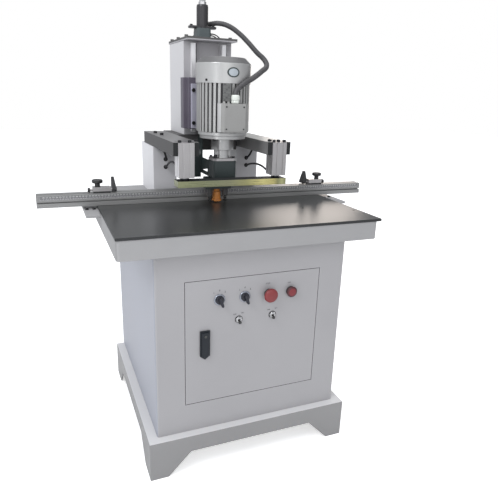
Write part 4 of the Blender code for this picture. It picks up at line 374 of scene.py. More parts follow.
# Long fine lines, for drawn, ground and brushed metal
def makeLinesGroup():
    group, given, result = makeGroup(
        "drawnLines",
        [("Vector", "NodeSocketVector", None), ("Stretch", "NodeSocketVector", (1.0, 1.0, 1.0)),
         ("Line Scale", "NodeSocketFloat", 200.0), ("Cloud Scale", "NodeSocketFloat", 5.0)],
        [("Shade", "NodeSocketFloat"), ("Height", "NodeSocketFloat")])
    stretch = group.nodes.new("ShaderNodeVectorMath")
    stretch.operation = "MULTIPLY"
    lines = group.nodes.new("ShaderNodeTexNoise")
    lines.inputs["Detail"].default_value = 3
    clouds = group.nodes.new("ShaderNodeTexNoise")
    clouds.inputs["Detail"].default_value = 3
    blend = group.nodes.new("ShaderNodeMix")
    blend.inputs["Factor"].default_value = 0.45
    group.links.new(given.outputs["Vector"], stretch.inputs[0])
    group.links.new(given.outputs["Stretch"], stretch.inputs[1])
    group.links.new(stretch.outputs["Vector"], lines.inputs["Vector"])
    group.links.new(given.outputs["Vector"], clouds.inputs["Vector"])
    group.links.new(given.outputs["Line Scale"], lines.inputs["Scale"])
    group.links.new(given.outputs["Cloud Scale"], clouds.inputs["Scale"])
    group.links.new(lines.outputs["Fac"], blend.inputs["A"])
    group.links.new(clouds.outputs["Fac"], blend.inputs["B"])
    group.links.new(blend.outputs["Result"], result.inputs["Shade"])
    group.links.new(lines.outputs["Fac"], result.inputs["Height"])
    return group


skinGroup = makeSkinGroup()
linesGroup = makeLinesGroup()


def makeFinish(name, dark, light, roughness, metallic=0.0, group=None, bump=0.1, bumpSize=0.0003, coat=0.0,
               spread=0.25, shine=0.5, **values):
    material = bpy.data.materials.new(name)
    material.use_nodes = True
    nodes = material.node_tree.nodes
    links = material.node_tree.links
    shader = nodes["Principled BSDF"]
    shader.inputs["Metallic"].default_value = metallic
    shader.inputs["Coat Weight"].default_value = coat
    shader.inputs["Coat Roughness"].default_value = 0.15
    shader.inputs["Specular IOR Level"].default_value = shine
    place = nodes.new("ShaderNodeTexCoord")
    pattern = nodes.new("ShaderNodeGroup")
    pattern.node_tree = group or skinGroup
    for label, value in values.items():
        pattern.inputs[label.replace("_", " ")].default_value = value
    links.new(place.outputs["Object"], pattern.inputs["Vector"])
    sharpen = nodes.new("ShaderNodeMapRange")
    sharpen.inputs["From Min"].default_value = 0.5 - spread
    sharpen.inputs["From Max"].default_value = 0.5 + spread
    links.new(pattern.outputs["Shade"], sharpen.inputs["Value"])
    colour = nodes.new("ShaderNodeMix")
    colour.data_type = "RGBA"
    colour.inputs["A"].default_value = (*dark, 1)
    colour.inputs["B"].default_value = (*light, 1)
    links.new(sharpen.outputs["Result"], colour.inputs["Factor"])
    links.new(colour.outputs["Result"], shader.inputs["Base Color"])
    gloss = nodes.new("ShaderNodeMapRange")
    gloss.inputs["To Min"].default_value = roughness[0]
    gloss.inputs["To Max"].default_value = roughness[1]
    links.new(pattern.outputs["Shade"], gloss.inputs["Value"])
    links.new(gloss.outputs["Result"], shader.inputs["Roughness"])
    relief = nodes.new("ShaderNodeBump")
    relief.inputs["Strength"].default_value = bump
    relief.inputs["Distance"].default_value = bumpSize
    links.new(pattern.outputs["Height"], relief.inputs["Height"])
    links.new(relief.outputs["Normal"], shader.inputs["Normal"])
    return material


cabinetPaint = makeFinish("cabinetPaint", (0.325, 0.319, 0.328), (0.363, 0.357, 0.366), (0.34, 0.44),
                          bump=0.12, Cloud_Scale=3.0, Skin_Scale=700.0)
framePaint = makeFinish("framePaint", (0.300, 0.298, 0.301), (0.336, 0.334, 0.337), (0.36, 0.46),
                        bump=0.14, Cloud_Scale=5.0, Skin_Scale=700.0)
plinthPaint = makeFinish("plinthPaint", (0.235, 0.232, 0.233), (0.275, 0.272, 0.272), (0.40, 0.52),
                         bump=0.18, Cloud_Scale=4.0, Skin_Scale=600.0)
columnPaint = makeFinish("columnPaint", (0.365, 0.358, 0.372), (0.400, 0.394, 0.408), (0.34, 0.44),
                         bump=0.12, Cloud_Scale=4.0, Skin_Scale=700.0)
# Darker copy of the frame paint for the table frame's left-facing side: painted shade
frameSidePaintedShade = makeFinish("frameSidePaintedShade", (0.235, 0.234, 0.235), (0.275, 0.274, 0.275), (0.40, 0.50),
                       bump=0.14, Cloud_Scale=9.0, Skin_Scale=700.0)
# Lighter copy of the column paint for the column's left-facing side: painted light from the left
columnSidePaintedLight = makeFinish("columnSidePaintedLight", (0.55, 0.545, 0.555), (0.60, 0.595, 0.605), (0.34, 0.44),
                        bump=0.12, Cloud_Scale=4.0, Skin_Scale=700.0)
# Lighter copy of the pedestal paint for the pedestals' left-facing side: painted light from the left
pedestalSidePaintedLight = makeFinish("pedestalSidePaintedLight", (0.66, 0.655, 0.67), (0.71, 0.705, 0.72), (0.34, 0.44),
                          bump=0.12, Cloud_Scale=4.0, Skin_Scale=700.0)
railSteel = makeFinish("railSteel", (0.72, 0.715, 0.725), (0.82, 0.815, 0.825), (0.24, 0.36), metallic=0.5,
                       group=linesGroup, bump=0.04, Stretch=(1.0, 1.0, 0.05), Line_Scale=1200.0)
cowlPaint = makeFinish("cowlPaint", (0.42, 0.42, 0.415), (0.50, 0.50, 0.495), (0.30, 0.40), metallic=0.6,
                       bump=0.22, bumpSize=0.0004, Cloud_Scale=9.0, Skin_Scale=420.0)
# Darker copy of the black oxide: painted shade on the left arm's left side
armShade = makeFinish("armShade", (0.046, 0.045, 0.045), (0.066, 0.064, 0.064), (0.44, 0.58), metallic=0.1,
                      bump=0.1, Cloud_Scale=12.0, Skin_Scale=600.0)
# Lighter copy of the black oxide: painted light on the right arm's left side
rightArmSidePaintedLight = makeFinish("rightArmSidePaintedLight", (0.180, 0.178, 0.177), (0.240, 0.237, 0.236), (0.44, 0.58), metallic=0.1,
                       bump=0.1, Cloud_Scale=12.0, Skin_Scale=600.0)
# Much lighter copy of the black oxide: painted light on the right arm's top
rightArmTopPaintedLight = makeFinish("rightArmTopPaintedLight", (0.40, 0.40, 0.385), (0.50, 0.50, 0.48), (0.30, 0.42), metallic=0.1,
                      bump=0.1, Cloud_Scale=12.0, Skin_Scale=600.0)
# A darker, bluer copy of the cabinet paint for the cabinet's left side: painted shade with the cool cast of the light
# there
cabinetSidePaintedShade = makeFinish("cabinetSidePaintedShade", (0.280, 0.292, 0.335), (0.320, 0.333, 0.380), (0.34, 0.44),
                       bump=0.12, Cloud_Scale=3.0, Skin_Scale=700.0)
# Lighter copy of the plinth paint for its top faces: painted light from above
plinthTopPaintedLight = makeFinish("plinthTopPaintedLight", (0.64, 0.635, 0.640), (0.70, 0.695, 0.700), (0.38, 0.50),
                       bump=0.18, Cloud_Scale=4.0, Skin_Scale=600.0)
# Lighter copy of the black oxide: painted light on the left arm's top
armTop = makeFinish("armTop", (0.15, 0.146, 0.146), (0.21, 0.205, 0.204), (0.30, 0.42), metallic=0.1,
                    bump=0.1, Cloud_Scale=12.0, Skin_Scale=600.0)
# Near-black copy: painted shade on the arms' front ends and on the press bar's top
nearBlackPaintedShade = makeFinish("nearBlackPaintedShade", (0.020, 0.021, 0.022), (0.032, 0.034, 0.034), (0.50, 0.62), shine=0.15,
                    bump=0.1, Cloud_Scale=12.0, Skin_Scale=600.0)
turnedSteel = makeFinish("turnedSteel", (0.34, 0.34, 0.34), (0.50, 0.50, 0.495), (0.26, 0.36), metallic=0.8,
                         group=linesGroup, bump=0.04, Stretch=(0.05, 0.05, 1.0), Line_Scale=1200.0)
# Lighter copy of the box paint for the terminal box's left-facing side: painted light
boxSidePaintedLight = makeFinish("boxSidePaintedLight", (0.66, 0.658, 0.65), (0.73, 0.728, 0.72), (0.32, 0.42), metallic=0.3,
                     bump=0.2, bumpSize=0.0004, Cloud_Scale=9.0, Skin_Scale=420.0)
# Lighter copy of the aluminium for the left press cylinder's left-facing side: painted light
cylinderSidePaintedLight = makeFinish("cylinderSidePaintedLight", (0.70, 0.69, 0.70), (0.80, 0.79, 0.80), (0.30, 0.42), metallic=0.3,
                          group=linesGroup, bump=0.08, Stretch=(1.0, 1.0, 0.02), Line_Scale=900.0)
# Darker red for the outer ring of the stop button's dome: painted shade where the dome turns away from the light
stopDomeRimShade = makeFinish("stopDomeRimShade", (0.055, 0.009, 0.013), (0.080, 0.013, 0.018), (0.32, 0.42), coat=0.15,
                       bump=0.05, Cloud_Scale=60.0, Skin_Scale=1500.0)
lockCoat = makeFinish("lockCoat", (0.010, 0.013, 0.017), (0.017, 0.021, 0.027), (0.36, 0.46), shine=0.3,
                      bump=0.1, Cloud_Scale=40.0, Skin_Scale=1500.0)
tableLaminate = makeFinish("tableLaminate", (0.026, 0.027, 0.027), (0.038, 0.039, 0.039), (0.25, 0.33),
                           group=linesGroup, bump=0.05, Stretch=(0.08, 1.0, 1.0), Line_Scale=500.0, Cloud_Scale=4.0)
# Near-black finish: the table top's own dark edge band, and painted shade in the gaps round the door
edgeBandAndGapShade = makeFinish("edgeBandAndGapShade", (0.014, 0.015, 0.016), (0.022, 0.023, 0.025), (0.50, 0.62),
                       bump=0.1, Cloud_Scale=20.0, Skin_Scale=900.0)
drawnAluminium = makeFinish("drawnAluminium", (0.235, 0.235, 0.232), (0.31, 0.31, 0.306), (0.32, 0.44), metallic=0.6,
                            group=linesGroup, bump=0.08, Stretch=(0.02, 1.0, 1.0), Line_Scale=900.0)
pillarAluminium = makeFinish("pillarAluminium", (0.37, 0.358, 0.358), (0.46, 0.446, 0.446), (0.28, 0.40),
                             metallic=0.8, group=linesGroup, bump=0.08, Stretch=(1.0, 1.0, 0.02), Line_Scale=900.0)
motorPaint = makeFinish("motorPaint", (0.36, 0.36, 0.352), (0.44, 0.44, 0.43), (0.28, 0.38), metallic=0.55,
                        bump=0.22, bumpSize=0.0004, Cloud_Scale=9.0, Skin_Scale=420.0)
boxPaint = makeFinish("boxPaint", (0.27, 0.268, 0.26), (0.33, 0.328, 0.318), (0.32, 0.42), metallic=0.3,
                      bump=0.2, bumpSize=0.0004, Cloud_Scale=9.0, Skin_Scale=420.0)
feetPaint = makeFinish("feetPaint", (0.35, 0.345, 0.41), (0.43, 0.42, 0.50), (0.34, 0.44), metallic=0.2,
                       bump=0.2, Cloud_Scale=9.0, Skin_Scale=500.0)
pedestalPaint = makeFinish("pedestalPaint", (0.54, 0.533, 0.55), (0.59, 0.583, 0.60), (0.34, 0.44),
                           bump=0.12, Cloud_Scale=4.0, Skin_Scale=700.0)
# Dark finish for the fan cowl's upper taper: painted shade
taperPaintedShade = makeFinish("taperPaintedShade", (0.098, 0.097, 0.098), (0.136, 0.135, 0.137), (0.42, 0.52), metallic=0.2,
                        bump=0.22, bumpSize=0.0004, Cloud_Scale=9.0, Skin_Scale=420.0)
# Dark grey for painted shade: the gaps between the motor's fins and the strips beside the guide rails
finShade = makeFinish("finShade", (0.07, 0.07, 0.074), (0.11, 0.11, 0.115), (0.5, 0.6), metallic=0.2,
                      bump=0.2, Cloud_Scale=9.0, Skin_Scale=500.0)
blackOxide = makeFinish("blackOxide", (0.068, 0.066, 0.066), (0.098, 0.095, 0.095), (0.44, 0.58), metallic=0.1,
                        bump=0.1, Cloud_Scale=12.0, Skin_Scale=600.0)
carriageCoat = makeFinish("carriageCoat", (0.092, 0.082, 0.108), (0.132, 0.118, 0.148), (0.36, 0.46), metallic=0.2,
                          bump=0.1, Cloud_Scale=10.0, Skin_Scale=600.0)
blackPlastic = makeFinish("blackPlastic", (0.014, 0.014, 0.015), (0.022, 0.022, 0.023), (0.34, 0.48),
                          bump=0.15, Cloud_Scale=30.0, Skin_Scale=1400.0)
knobPlastic = makeFinish("knobPlastic", (0.005, 0.006, 0.012), (0.009, 0.011, 0.021), (0.30, 0.40), coat=0.1,
                         bump=0.05, Cloud_Scale=40.0, Skin_Scale=1500.0)
sleeveCoat = makeFinish("sleeveCoat", (0.034, 0.033, 0.036), (0.052, 0.050, 0.054), (0.26, 0.36), metallic=0.35,
                        group=linesGroup, bump=0.06, Stretch=(1.0, 1.0, 0.05), Line_Scale=900.0)
screwSteel = makeFinish("screwSteel", (0.015, 0.015, 0.017), (0.026, 0.026, 0.028), (0.30, 0.42), metallic=0.5,
                        bump=0.05, Cloud_Scale=80.0, Skin_Scale=1500.0)
groundSteel = makeFinish("groundSteel", (0.50, 0.50, 0.51), (0.62, 0.62, 0.625), (0.16, 0.28), metallic=1.0,
                         group=linesGroup, bump=0.04, Stretch=(1.0, 1.0, 0.05), Line_Scale=1200.0)
bezelSteel = makeFinish("bezelSteel", (0.27, 0.29, 0.33), (0.36, 0.38, 0.43), (0.20, 0.32), metallic=0.8,
                        bump=0.04, Cloud_Scale=60.0, Skin_Scale=1500.0)
leverSteel = makeFinish("leverSteel", (0.060, 0.062, 0.060), (0.10, 0.10, 0.098), (0.18, 0.28), metallic=0.9,
                        bump=0.04, Cloud_Scale=60.0, Skin_Scale=1500.0)
gearboxPaint = makeFinish("gearboxPaint", (0.020, 0.030, 0.031), (0.034, 0.047, 0.047), (0.32, 0.44),
                          bump=0.15, Cloud_Scale=25.0, Skin_Scale=800.0)
blockPaint = makeFinish("blockPaint", (0.066, 0.084, 0.088), (0.092, 0.112, 0.116), (0.34, 0.46),
                        bump=0.15, Cloud_Scale=25.0, Skin_Scale=800.0)
redPlastic = makeFinish("redPlastic", (0.185, 0.024, 0.026), (0.22, 0.031, 0.033), (0.40, 0.50), coat=0.05,
                        bump=0.05, Cloud_Scale=60.0, Skin_Scale=1500.0)
darkRedPlastic = makeFinish("darkRedPlastic", (0.155, 0.014, 0.020), (0.20, 0.020, 0.026), (0.36, 0.46), coat=0.10,
                            bump=0.05, Cloud_Scale=60.0, Skin_Scale=1500.0)
orangeCoat = makeFinish("orangeCoat", (0.60, 0.21, 0.045), (0.76, 0.31, 0.075), (0.28, 0.40), coat=0.2,
                        bump=0.08, Cloud_Scale=70.0, Skin_Scale=1500.0)
hoseRubber = makeFinish("hoseRubber", (0.050, 0.049, 0.051), (0.074, 0.072, 0.075), (0.42, 0.56),
                        bump=0.12, Cloud_Scale=40.0, Skin_Scale=1200.0)
whitePlastic = makeFinish("whitePlastic", (0.62, 0.65, 0.60), (0.72, 0.745, 0.70), (0.34, 0.46),
                          bump=0.08, Cloud_Scale=60.0, Skin_Scale=1500.0)
printInk = makeFinish("printInk", (0.030, 0.030, 0.033), (0.05, 0.05, 0.054), (0.5, 0.6),
                      bump=0.02, Cloud_Scale=200.0, Skin_Scale=2000.0)
platePaint = makeFinish("platePaint", (0.125, 0.128, 0.125), (0.165, 0.168, 0.165), (0.32, 0.42), metallic=0.4,
                        bump=0.05, Cloud_Scale=60.0, Skin_Scale=1500.0)
badgeField = makeFinish("badgeField", (0.36, 0.40, 0.44), (0.46, 0.50, 0.53), (0.26, 0.36), metallic=0.2,
                        bump=0.03, Cloud_Scale=60.0, Skin_Scale=1500.0)


# The colour along the bar runs from olive over grey to straw: partly the yellow passivation's own tone, partly painted
# reflection in its brighter and darker bands
def makeZincFinish():
    material = makeFinish("yellowZincPaintedSheen", (0.30, 0.31, 0.14), (0.42, 0.40, 0.18), (0.22, 0.34), metallic=0.5,
                          group=linesGroup, bump=0.05, Stretch=(0.05, 1.0, 1.0), Line_Scale=500.0, Cloud_Scale=7.0)
    nodes = material.node_tree.nodes
    links = material.node_tree.links
    parts = nodes.new("ShaderNodeSeparateXYZ")
    links.new(nodes["Texture Coordinate"].outputs["Object"], parts.inputs["Vector"])
    along = nodes.new("ShaderNodeMapRange")
    along.inputs["From Min"].default_value = -0.187
    along.inputs["From Max"].default_value = 0.187
    links.new(parts.outputs["X"], along.inputs["Value"])
    # Brighter and darker bands along X: painted reflection over the passivation tone
    tones = nodes.new("ShaderNodeValToRGB")
    ramp = tones.color_ramp
    ramp.elements[0].position = 0.0
    ramp.elements[0].color = (0.26, 0.28, 0.17, 1)
    ramp.elements[1].position = 1.0
    ramp.elements[1].color = (0.20, 0.20, 0.12, 1)
    for spot, colour in ((0.20, (0.18, 0.20, 0.125)), (0.45, (0.21, 0.215, 0.150)), (0.62, (0.34, 0.32, 0.15)),
                         (0.78, (0.74, 0.66, 0.27)), (0.88, (0.58, 0.50, 0.19)), (0.92, (0.24, 0.23, 0.12)),
                         (0.96, (0.50, 0.50, 0.26))):
        ramp.elements.new(spot).color = (*colour, 1)
    links.new(along.outputs["Result"], tones.inputs["Fac"])
    shade = nodes.new("ShaderNodeMix")
    shade.data_type = "RGBA"
    shade.inputs["Factor"].default_value = 0.25
    links.new(tones.outputs["Color"], shade.inputs["A"])
    links.new(nodes["Mix"].outputs["Result"], shade.inputs["B"])
    links.new(shade.outputs["Result"], nodes["Principled BSDF"].inputs["Base Color"])
    return material


yellowZincPaintedSheen = makeZincFinish()


# Anodised strip with a line at each millimetre, longer at five and ten
def makeScaleFinish():
    material = bpy.data.materials.new("scaleStrip")
    material.use_nodes = True
    nodes = material.node_tree.nodes
    links = material.node_tree.links
    shader = nodes["Principled BSDF"]
    shader.inputs["Metallic"].default_value = 0.3
    shader.inputs["Roughness"].default_value = 0.42
    place = nodes.new("ShaderNodeTexCoord")
    parts = nodes.new("ShaderNodeSeparateXYZ")
    links.new(place.outputs["Object"], parts.inputs["Vector"])
    marks = None
    for pitch, width, reach in ((0.001, 0.00018, 0.0014), (0.005, 0.00042, 0.0034), (0.010, 0.00060, 0.0046)):
        wave = nodes.new("ShaderNodeMath")
        wave.operation = "PINGPONG"
        wave.inputs[1].default_value = pitch / 2
        links.new(parts.outputs["X"], wave.inputs[0])
        line = nodes.new("ShaderNodeMath")
        line.operation = "LESS_THAN"
        line.inputs[1].default_value = width / 2
        links.new(wave.outputs[0], line.inputs[0])
        height = nodes.new("ShaderNodeMath")
        height.operation = "LESS_THAN"
        height.inputs[1].default_value = 0.8252 + reach
        links.new(parts.outputs["Z"], height.inputs[0])
        both = nodes.new("ShaderNodeMath")
        both.operation = "MULTIPLY"
        links.new(line.outputs[0], both.inputs[0])
        links.new(height.outputs[0], both.inputs[1])
        if marks is None:
            marks = both
        else:
            most = nodes.new("ShaderNodeMath")
            most.operation = "MAXIMUM"
            links.new(marks.outputs[0], most.inputs[0])
            links.new(both.outputs[0], most.inputs[1])
            marks = most
    pattern = nodes.new("ShaderNodeGroup")
    pattern.node_tree = linesGroup
    pattern.inputs["Stretch"].default_value = (0.02, 1.0, 1.0)
    pattern.inputs["Line Scale"].default_value = 900.0
    links.new(place.outputs["Object"], pattern.inputs["Vector"])
    ground = nodes.new("ShaderNodeMix")
    ground.data_type = "RGBA"
    ground.inputs["A"].default_value = (0.165, 0.163, 0.172, 1)
    ground.inputs["B"].default_value = (0.215, 0.213, 0.222, 1)
    links.new(pattern.outputs["Shade"], ground.inputs["Factor"])
    ink = nodes.new("ShaderNodeMix")
    ink.data_type = "RGBA"
    ink.inputs["B"].default_value = (0.80, 0.80, 0.80, 1)
    links.new(marks.outputs[0], ink.inputs["Factor"])
    links.new(ground.outputs["Result"], ink.inputs["A"])
    links.new(ink.outputs["Result"], shader.inputs["Base Color"])
    return material


scaleStrip = makeScaleFinish()
print("finishes ready")

# Hoses first: the corrugated motor hose and the air tubes
hose = {
    "radius": 0.0088,
    "route": [(0.0000, 0.6440, 1.3560), (0.0000, 0.6440, 1.3740), (0.0005, 0.6435, 1.3840), (0.0085, 0.6330, 1.3970),
              (0.0240, 0.6120, 1.4050), (0.0411, 0.5880, 1.4075), (0.0580, 0.5500, 1.4070), (0.0798, 0.5050, 1.3952),
              (0.1028, 0.4620, 1.3698), (0.1229, 0.4250, 1.3394), (0.1421, 0.3880, 1.3053), (0.1570, 0.3520, 1.2790),
              (0.1500, 0.3180, 1.2575), (0.1204, 0.2880, 1.2400), (0.0767, 0.2560, 1.2165), (0.0370, 0.2322, 1.1985),
              (0.0180, 0.2265, 1.1850), (0.0085, 0.2247, 1.1760), (0.0060, 0.2245, 1.1700), (0.0060, 0.2245, 1.1600)],
    "ribs": {"pitch": 0.0042, "depth": 0.0011, "smoothEnd": 0.012},
}
motorHose = finishPiece("motorHose", tubeShape(hose["route"], hose["radius"], 16, 10, hose["ribs"]), hoseRubber,
                        None, ["motor_hose"], level=False)
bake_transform(motorHose)

airTube = {
    "radius": 0.0036,
    "holeX": 0.158,
    "lowLeft": [(0, 0.503, 0.904), (0, 0.480, 0.908), (-0.001, 0.450, 0.921), (-0.003, 0.400, 0.934),
                (-0.006, 0.340, 0.938), (-0.0105, 0.285, 0.932), (-0.0126, 0.252, 0.930)],
    "lowRight": [(0, 0.503, 0.904), (0, 0.480, 0.908), (0.001, 0.440, 0.917), (0.002, 0.390, 0.922),
                 (-0.002, 0.330, 0.921), (-0.0095, 0.280, 0.917), (-0.0126, 0.252, 0.916)],
    "high": [(0, 0.503, 0.932), (0, 0.488, 0.934), (0.003, 0.476, 0.942), (0.008, 0.468, 0.956),
             (0.012, 0.466, 0.968), (0.0125, 0.466, 0.977)],
}


def makeAirTubes():
    for side, sign in (("Left", -1), ("Right", 1)):
        low = []
        for offset, y, z in airTube["low" + side]:
            low.append((sign * airTube["holeX"] + offset, y, z))
        tube = tubeShape(low, airTube["radius"], 12, 8)
        port = joined(
            hexShape((low[-1][0], 0.2535, low[-1][2]), 0.0062, 0.006, axis="Y"),
            rodShape((low[-1][0], 0.2590, low[-1][2]), 0.0052, 0.006, 0.0008, 20, "Y"))
        name = "air_tube_left" if sign < 0 else "air_tube_right"
        finishPiece("airTube" + side, joined(tube, port), blackPlastic, "frame", [name])
        high = [(sign * (airTube["holeX"] + offset), y, z) for offset, y, z in airTube["high"]]
        finishPiece("upperAirTube" + side, joined(
            tubeShape(high, airTube["radius"], 12, 8),
            hexShape((high[-1][0], high[-1][1], 0.9705), 0.0055, 0.0065)), blackPlastic, "frame")


makeAirTubes()
print("hoses and tubes made")

# Plinth, cabinet and table are sheet work with folded, slightly rounded edges
# The plinth's top faces take the lighter copy: painted light
finishPiece("basePlinth", facingPaint(easedNode("base_plinth", 0.0022, 3), (0, 0, 1)), [plinthPaint, plinthTopPaintedLight],
            "frame", ["base_plinth"])
# The cabinet's left-facing faces take the darker, bluer copy: painted shade
shell = facingPaint(easedNode("cabinet_shell", 0.0008, 2), (-1, 0, 0))
# Faces round the door opening take the near-black finish: painted shade in the gap between door and cabinet
for face in shell.faces:
    spot = face.calc_center_median()
    if spot.y < 0.006 and abs(face.normal.y) < 0.5 and abs(spot.x) < 0.230 and 0.225 < spot.z < 0.650:
        face.material_index = 2
finishPiece("cabinetShell", shell, [cabinetPaint, cabinetSidePaintedShade, edgeBandAndGapShade], "frame", ["cabinet_shell"])
# The frame's left-facing faces take the darker copy: painted shade
finishPiece("tableFrame", facingPaint(easedNode("table_frame", 0.0016, 3), (-1, 0, 0)), [framePaint, frameSidePaintedShade],
            "frame", ["table_frame"])
slab = easedNode("table_top", 0.0007, 2)
for face in slab.faces:
    face.material_index = 0 if face.normal.z > 0.8 else 1
finishPiece("tableTop", slab, [tableLaminate, edgeBandAndGapShade], "frame", ["table_top"])

fencePlateScrew = {"height": 0.0045, "radius": 0.0055, "top": 0.7912,
                   "places": [(-0.430, 0.3555), (-0.452, 0.3555), (-0.430, 0.4320), (-0.452, 0.4320),
                              (0.426, 0.3555), (0.456, 0.3555), (0.426, 0.4320), (0.456, 0.4320)]}


def makeFencePlateScrews():
    screws = [screwShape((x, y, fencePlateScrew["top"]), fencePlateScrew["radius"], fencePlateScrew["height"])
              for x, y in fencePlateScrew["places"]]
    finishPiece("fencePlateScrews", joined(*screws), screwSteel, "frame")


makeFencePlateScrews()

# Door: the folded panel, the gap round it painted near black as shade, the controls and the printed marks
door = {
    "face": 0.0,
    "controlZ": 0.575, "selectorX": (-0.116, -0.034), "estopX": 0.046, "stopX": 0.122,
    "toggleZ": 0.501, "toggleX": (-0.052, 0.062),
    "lockX": -0.1617, "lockTop": 0.4795,
}
doorLeaf = easedNode("door_panel", 0.0008, 2)
# The door's edge faces take the near-black finish: painted shade in the gap round the door
for face in doorLeaf.faces:
    spot = face.calc_center_median()
    rim = abs(face.normal.y) < 0.5 and (abs(spot.x) > 0.2215 or spot.z > 0.6397 or spot.z < 0.2336)
    face.material_index = 1 if rim else 0
finishPiece("doorPanel", doorLeaf, [cabinetPaint, edgeBandAndGapShade], "door", ["door_panel"])


def bezelShape(x, z, radius, front, hole):
    profile = [(hole, 0.0004), (hole, front - 0.0012), (hole + 0.0012, front), (radius - 0.0022, front),
               (radius - 0.0005, front - 0.0009), (radius, front - 0.0024), (radius, 0.0004)]
    return turnedShape(profile, (x, 0, z), 56, "-Y", hollow=True)


def makeControls():
    bezels = [bezelShape(x, door["controlZ"], 0.0180, 0.0040, 0.0120) for x in door["selectorX"]]
    chrome = []
    for x in door["toggleX"]:
        chrome.append(hexShape((x, -0.0004, door["toggleZ"]), 0.0112, 0.0030, axis="-Y", turn=0.3))
        chrome.append(turnedShape([(0.0044, 0.0), (0.0078, 0.0), (0.0078, 0.0052), (0.0068, 0.0062), (0.0044, 0.0062)],
                                  (x, 0, door["toggleZ"]), 28, "-Y", hollow=True))
    dark = [boxShape((-0.136, 0.0023, 0.481), (0.142, 0.0048, 0.595), 0.0006)]
    for x in (*door["selectorX"], door["estopX"], door["stopX"]):
        dark.append(boxShape((x - 0.0145, 0.004, door["controlZ"] - 0.0145),
                             (x + 0.0145, 0.038, door["controlZ"] + 0.0145), 0.0015))
        dark.append(rodShape((x, 0.006, door["controlZ"]), 0.0109, 0.0085, 0.0004, 32, "-Y"))
    for x in (door["estopX"], door["stopX"]):
        dark.append(bezelShape(x, door["controlZ"], 0.0155, 0.0040, 0.0105))
    for x in door["toggleX"]:
        dark.append(boxShape((x - 0.0145, 0.004, door["toggleZ"] - 0.0145),
                             (x + 0.0145, 0.038, door["toggleZ"] + 0.0145), 0.0015))
        dark.append(turnedShape([(0.0100, 0.0002), (0.0124, 0.0002), (0.0124, 0.0012), (0.0100, 0.0012)],
                                (x, 0, door["toggleZ"]), 32, "-Y", hollow=True))
    finishPiece("controlBezels", joined(painted(joined(*bezels), 0), painted(joined(*dark), 1),
                                        painted(joined(*chrome), 2)),
                [bezelSteel, blackPlastic, groundSteel], "door", ["switch_block"])
    for index, x in enumerate(door["selectorX"]):
        makeSelector("Left" if index == 0 else "Right", x, ("selector_left", "selector_right")[index])
    makeMushroom("emergencyButton", door["estopX"], 0.0225, 0.0130, 0.0120, redPlastic, "estop", "estop_button")
    makeMushroom("stopButton", door["stopX"], 0.0178, 0.0070, 0.0060, darkRedPlastic, "stop_key", "stop_button")
    for index, x in enumerate(door["toggleX"]):
        side = ("left", "right")[index]
        profile = [(0, 0), (0.0034, 0.0), (0.0046, 0.0008), (0.0050, 0.0022), (0.0046, 0.0044), (0.0028, 0.0110),
                   (0.0024, 0.0145), (0.0037, 0.0150), (0.0037, 0.0170), (0, 0.0180)]
        lever = turnedShape([(r, 0.0160 - h) for r, h in profile][::-1], (0, 0, 0), 24, "-Y")
        moved(lever, Matrix.Translation((x, -0.0015, door["toggleZ"])) @ Matrix.Rotation(math.radians(28), 4, "X"))
        finishPiece("toggleLever" + side.title(), lever, leverSteel, "toggle_" + side,
                    ["toggle_lever_" + side])


def makeSelector(side, x, body):
    cap = turnedShape([(0, 0.0), (0.0050, 0.0), (0.0135, 0.0002), (0.0135, 0.0042), (0.0122, 0.0058),
                       (0.0110, 0.0062), (0, 0.0062)], (0, 0, 0), 48, "-Y")
    outline = [(-0.0042, 0.0110), (0.0042, 0.0110), (0.0048, 0.0), (0.0040, -0.0160), (0.0022, -0.0198),
               (-0.0022, -0.0198), (-0.0040, -0.0160), (-0.0048, 0.0)]
    knob = joined(cap, plateShape(outline, 0.0050, 0.0178, 0.0012, "-Y", 3))
    moved(knob, Matrix.Translation((x, -0.0043, door["controlZ"])) @ Matrix.Rotation(math.radians(-18), 4, "Y"))
    finishPiece("selectorKnob" + side, knob, knobPlastic, body, ["selector_knob_" + side.lower()])


def makeMushroom(name, x, radius, height, neck, finish, body, node):
    top = neck + height
    cap = turnedShape([(0.0050, -0.010), (0.0050, 0.0050), (0.0104, 0.0052), (0.0104, neck), (radius * 0.94, neck),
                       (radius * 0.985, neck + height * 0.07), (radius, neck + height * 0.18),
                       (radius, neck + height * 0.36), (radius * 0.97, neck + height * 0.52),
                       (radius * 0.88, neck + height * 0.70), (radius * 0.70, neck + height * 0.86),
                       (radius * 0.45, neck + height * 0.955), (radius * 0.2, top - height * 0.01), (0, top)],
                      (x, -0.0043, door["controlZ"]), 56, "-Y")
    # On the small stop button the dome's outer ring takes the darker red: painted shade
    for face in cap.faces:
        spot = face.calc_center_median()
        away = math.hypot(spot.x - x, spot.z - door["controlZ"])
        face.material_index = 1 if radius < 0.020 and away > radius * 0.72 else 0
    finishPiece(name, cap, [finish, stopDomeRimShade], body, [node])


